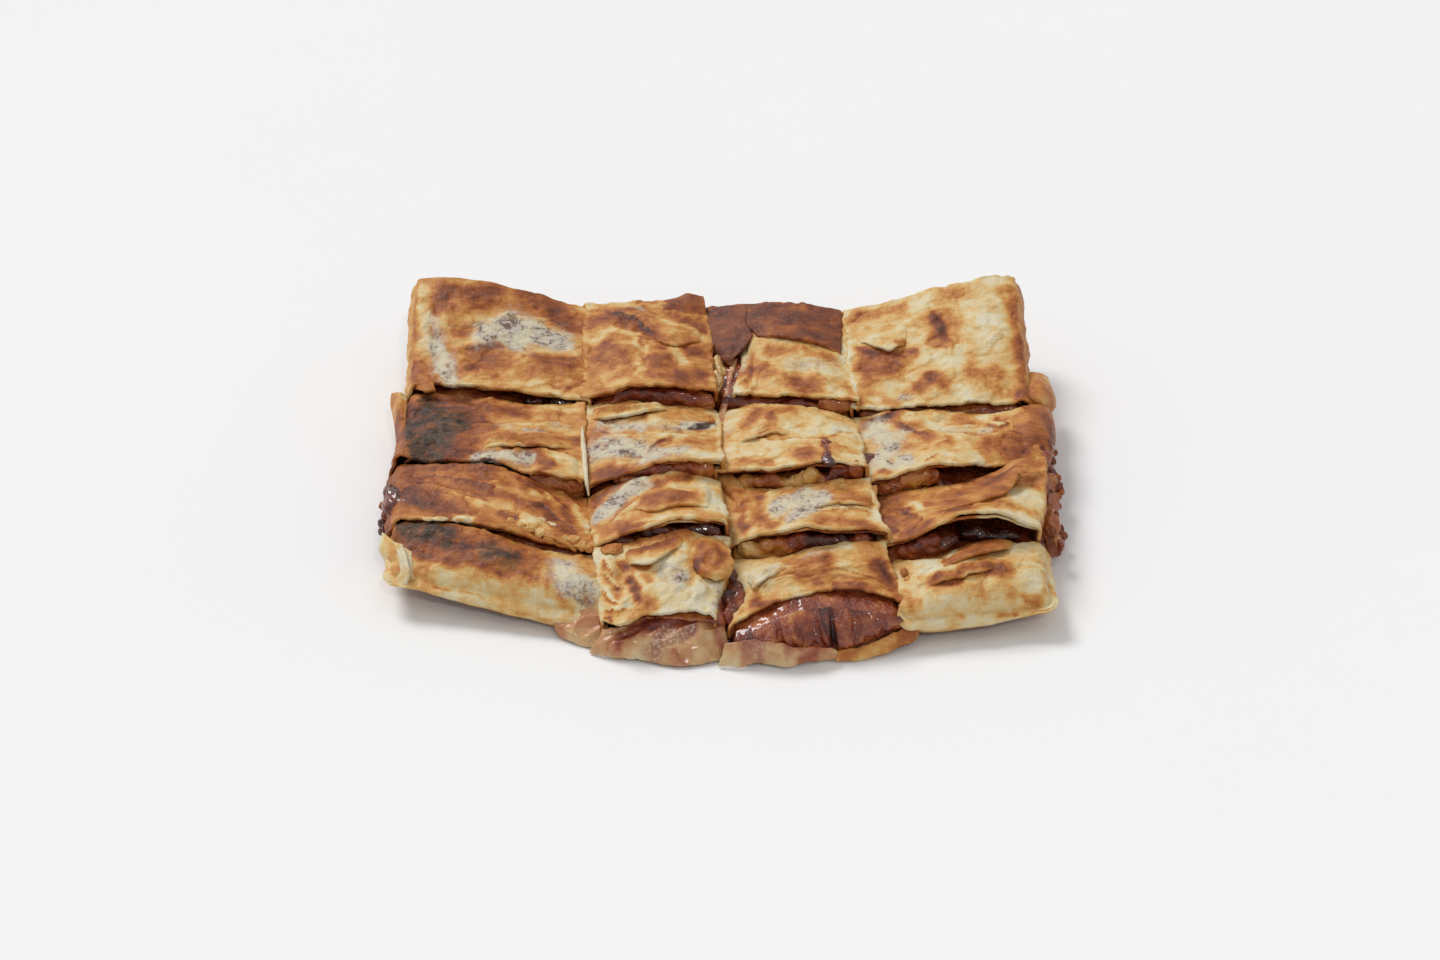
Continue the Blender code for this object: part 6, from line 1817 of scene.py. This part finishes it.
class MURTABAK_OT_filling(bpy.types.Operator):
    """Makes the slab of filling in each piece and the lumps that show at the cuts"""

    bl_idname = "murtabak.filling"
    bl_label = "Filling"

    def execute(self, context):
        finish = filling_material()
        for piece in PIECES:
            lumps = LUMPS.get(piece, ())
            parts = [slab(piece, SLAB_CELL)]
            for count, spec in enumerate(lumps):
                parts.append(lump(*spec[:6], seed=7 * count + number(piece)))
            mass, x, y, z = melt(parts, MELT_CELL, MELT_GRAIN, 760)
            tones = 0.42 + 0.24 * rough(x + z, y - z, 8, 730)
            # Painted light: the filling is lighter within 9 mm of each piece's front, on its faces in the
            # cuts.
            tones = tones + 0.16 * np.clip(1 - unplan(piece, x, y)[1] * size(piece)[1] / 9, 0, 1)
            for cx, cy, cz, rx, ry, rz, own in lumps:
                far = np.sqrt(((x - cx) / rx) ** 2 + ((y - cy) / ry) ** 2 + ((z - cz) / rz) ** 2)
                tones = mix(tones, own + 0.12 * rough(x + z, y, 3, 740), ease(1.9 - far))
            keep_bake(mass, tones)
            parts = [mass, open_front()] if piece == OPEN_PIECE else [mass]
            make_piece(parts, "chocolate_" + piece, finish, ["filling_" + piece])
        return {"FINISHED"}


class MURTABAK_OT_bananas(bpy.types.Operator):
    """Makes the slices of banana that the cuts have laid bare"""

    bl_idname = "murtabak.bananas"
    bl_label = "Bananas"

    def execute(self, context):
        finish = banana_material()
        for seed, name in enumerate(sorted(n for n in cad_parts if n.startswith("banana"))):
            low, high = (np.array(corner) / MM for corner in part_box(name))
            middle, half = (low + high) / 2, (high - low) / 2
            ball = lump(*middle, *(half * 1.02), seed=40 + seed)
            away = (read_points(ball) / MM - middle) / half
            boxy = np.abs(away) ** 0.72 * np.sign(away)
            move_points(ball, (middle + boxy * half * 0.97) * MM)
            mass, x, y, z = melt([ball], SLICE_CELL, SLICE_GRAIN, 780 + seed)
            keep_bake(mass, 0.86 + 0.14 * rough(x, y + z, 6, 790 + seed))
            make_piece([mass], name.replace("banana", "slice"), finish, [name])
        return {"FINISHED"}


class MURTABAK_OT_stage(bpy.types.Operator):
    """Sets the pale floor, the soft light and the camera"""

    bl_idname = "murtabak.stage"
    bl_label = "Stage"

    def execute(self, context):
        scene = context.scene
        bpy.ops.mesh.primitive_plane_add(size=FLOOR_SIZE)
        floor = context.object
        floor.name = "floor"
        floor.data.materials.append(floor_material())
        scene.world = bpy.data.worlds.new("studio")
        scene.world.use_nodes = True
        sky = scene.world.node_tree.nodes["Background"].inputs
        sky["Color"].default_value = (1, 1, 1, 1)
        sky["Strength"].default_value = SKY
        for turned, energy, angle in SUNS:
            bpy.ops.object.light_add(type="SUN", rotation=[math.radians(value) for value in turned])
            context.object.data.energy = energy
            context.object.data.angle = math.radians(angle)
        steep = math.radians(ELEVATION)
        tilt = math.atan((PICTURE[1] / 2 - AIM_PIXEL[1]) / FOCAL_LENGTH)
        place = (AIM[0], AIM[1] - DISTANCE * math.cos(steep), AIM[2] + DISTANCE * math.sin(steep))
        bpy.ops.object.camera_add(location=place, rotation=(math.pi / 2 - steep - tilt, 0, 0))
        scene.camera = context.object
        scene.camera.data.sensor_width = SENSOR
        scene.camera.data.lens = FOCAL_LENGTH * SENSOR / PICTURE[0]
        scene.camera.data.shift_x = (PICTURE[0] / 2 - AIM_PIXEL[0]) / PICTURE[0]
        scene.camera.data.clip_end = FURTHEST
        scene.view_settings.view_transform = "Standard"
        scene.view_settings.look = "None"
        return {"FINISHED"}


class MURTABAK_PT_panel(bpy.types.Panel):
    """Lists the steps that make the murtabak"""

    bl_idname = "MURTABAK_PT_panel"
    bl_label = "Murtabak"
    bl_space_type = "VIEW_3D"
    bl_region_type = "UI"
    bl_category = "Murtabak"

    def draw(self, context):
        for name in MurtabakSettings.__annotations__:
            self.layout.prop(settings(), name)
        for step in STEPS:
            self.layout.operator(step.bl_idname)


STEPS = (MURTABAK_OT_dough, MURTABAK_OT_filling, MURTABAK_OT_bananas, MURTABAK_OT_stage)
CLASSES = (MurtabakSettings, *STEPS, MURTABAK_PT_panel)


def register():
    for entry in CLASSES:
        bpy.utils.register_class(entry)
    bpy.types.Scene.murtabak = bpy.props.PointerProperty(type=MurtabakSettings)


def unregister():
    del bpy.types.Scene.murtabak
    for entry in reversed(CLASSES):
        bpy.utils.unregister_class(entry)


def main():
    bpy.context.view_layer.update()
    register()
    bpy.ops.murtabak.dough()
    bpy.ops.murtabak.filling()
    bpy.ops.murtabak.bananas()
    bpy.ops.murtabak.stage()


if __name__ == "__main__":
    main()
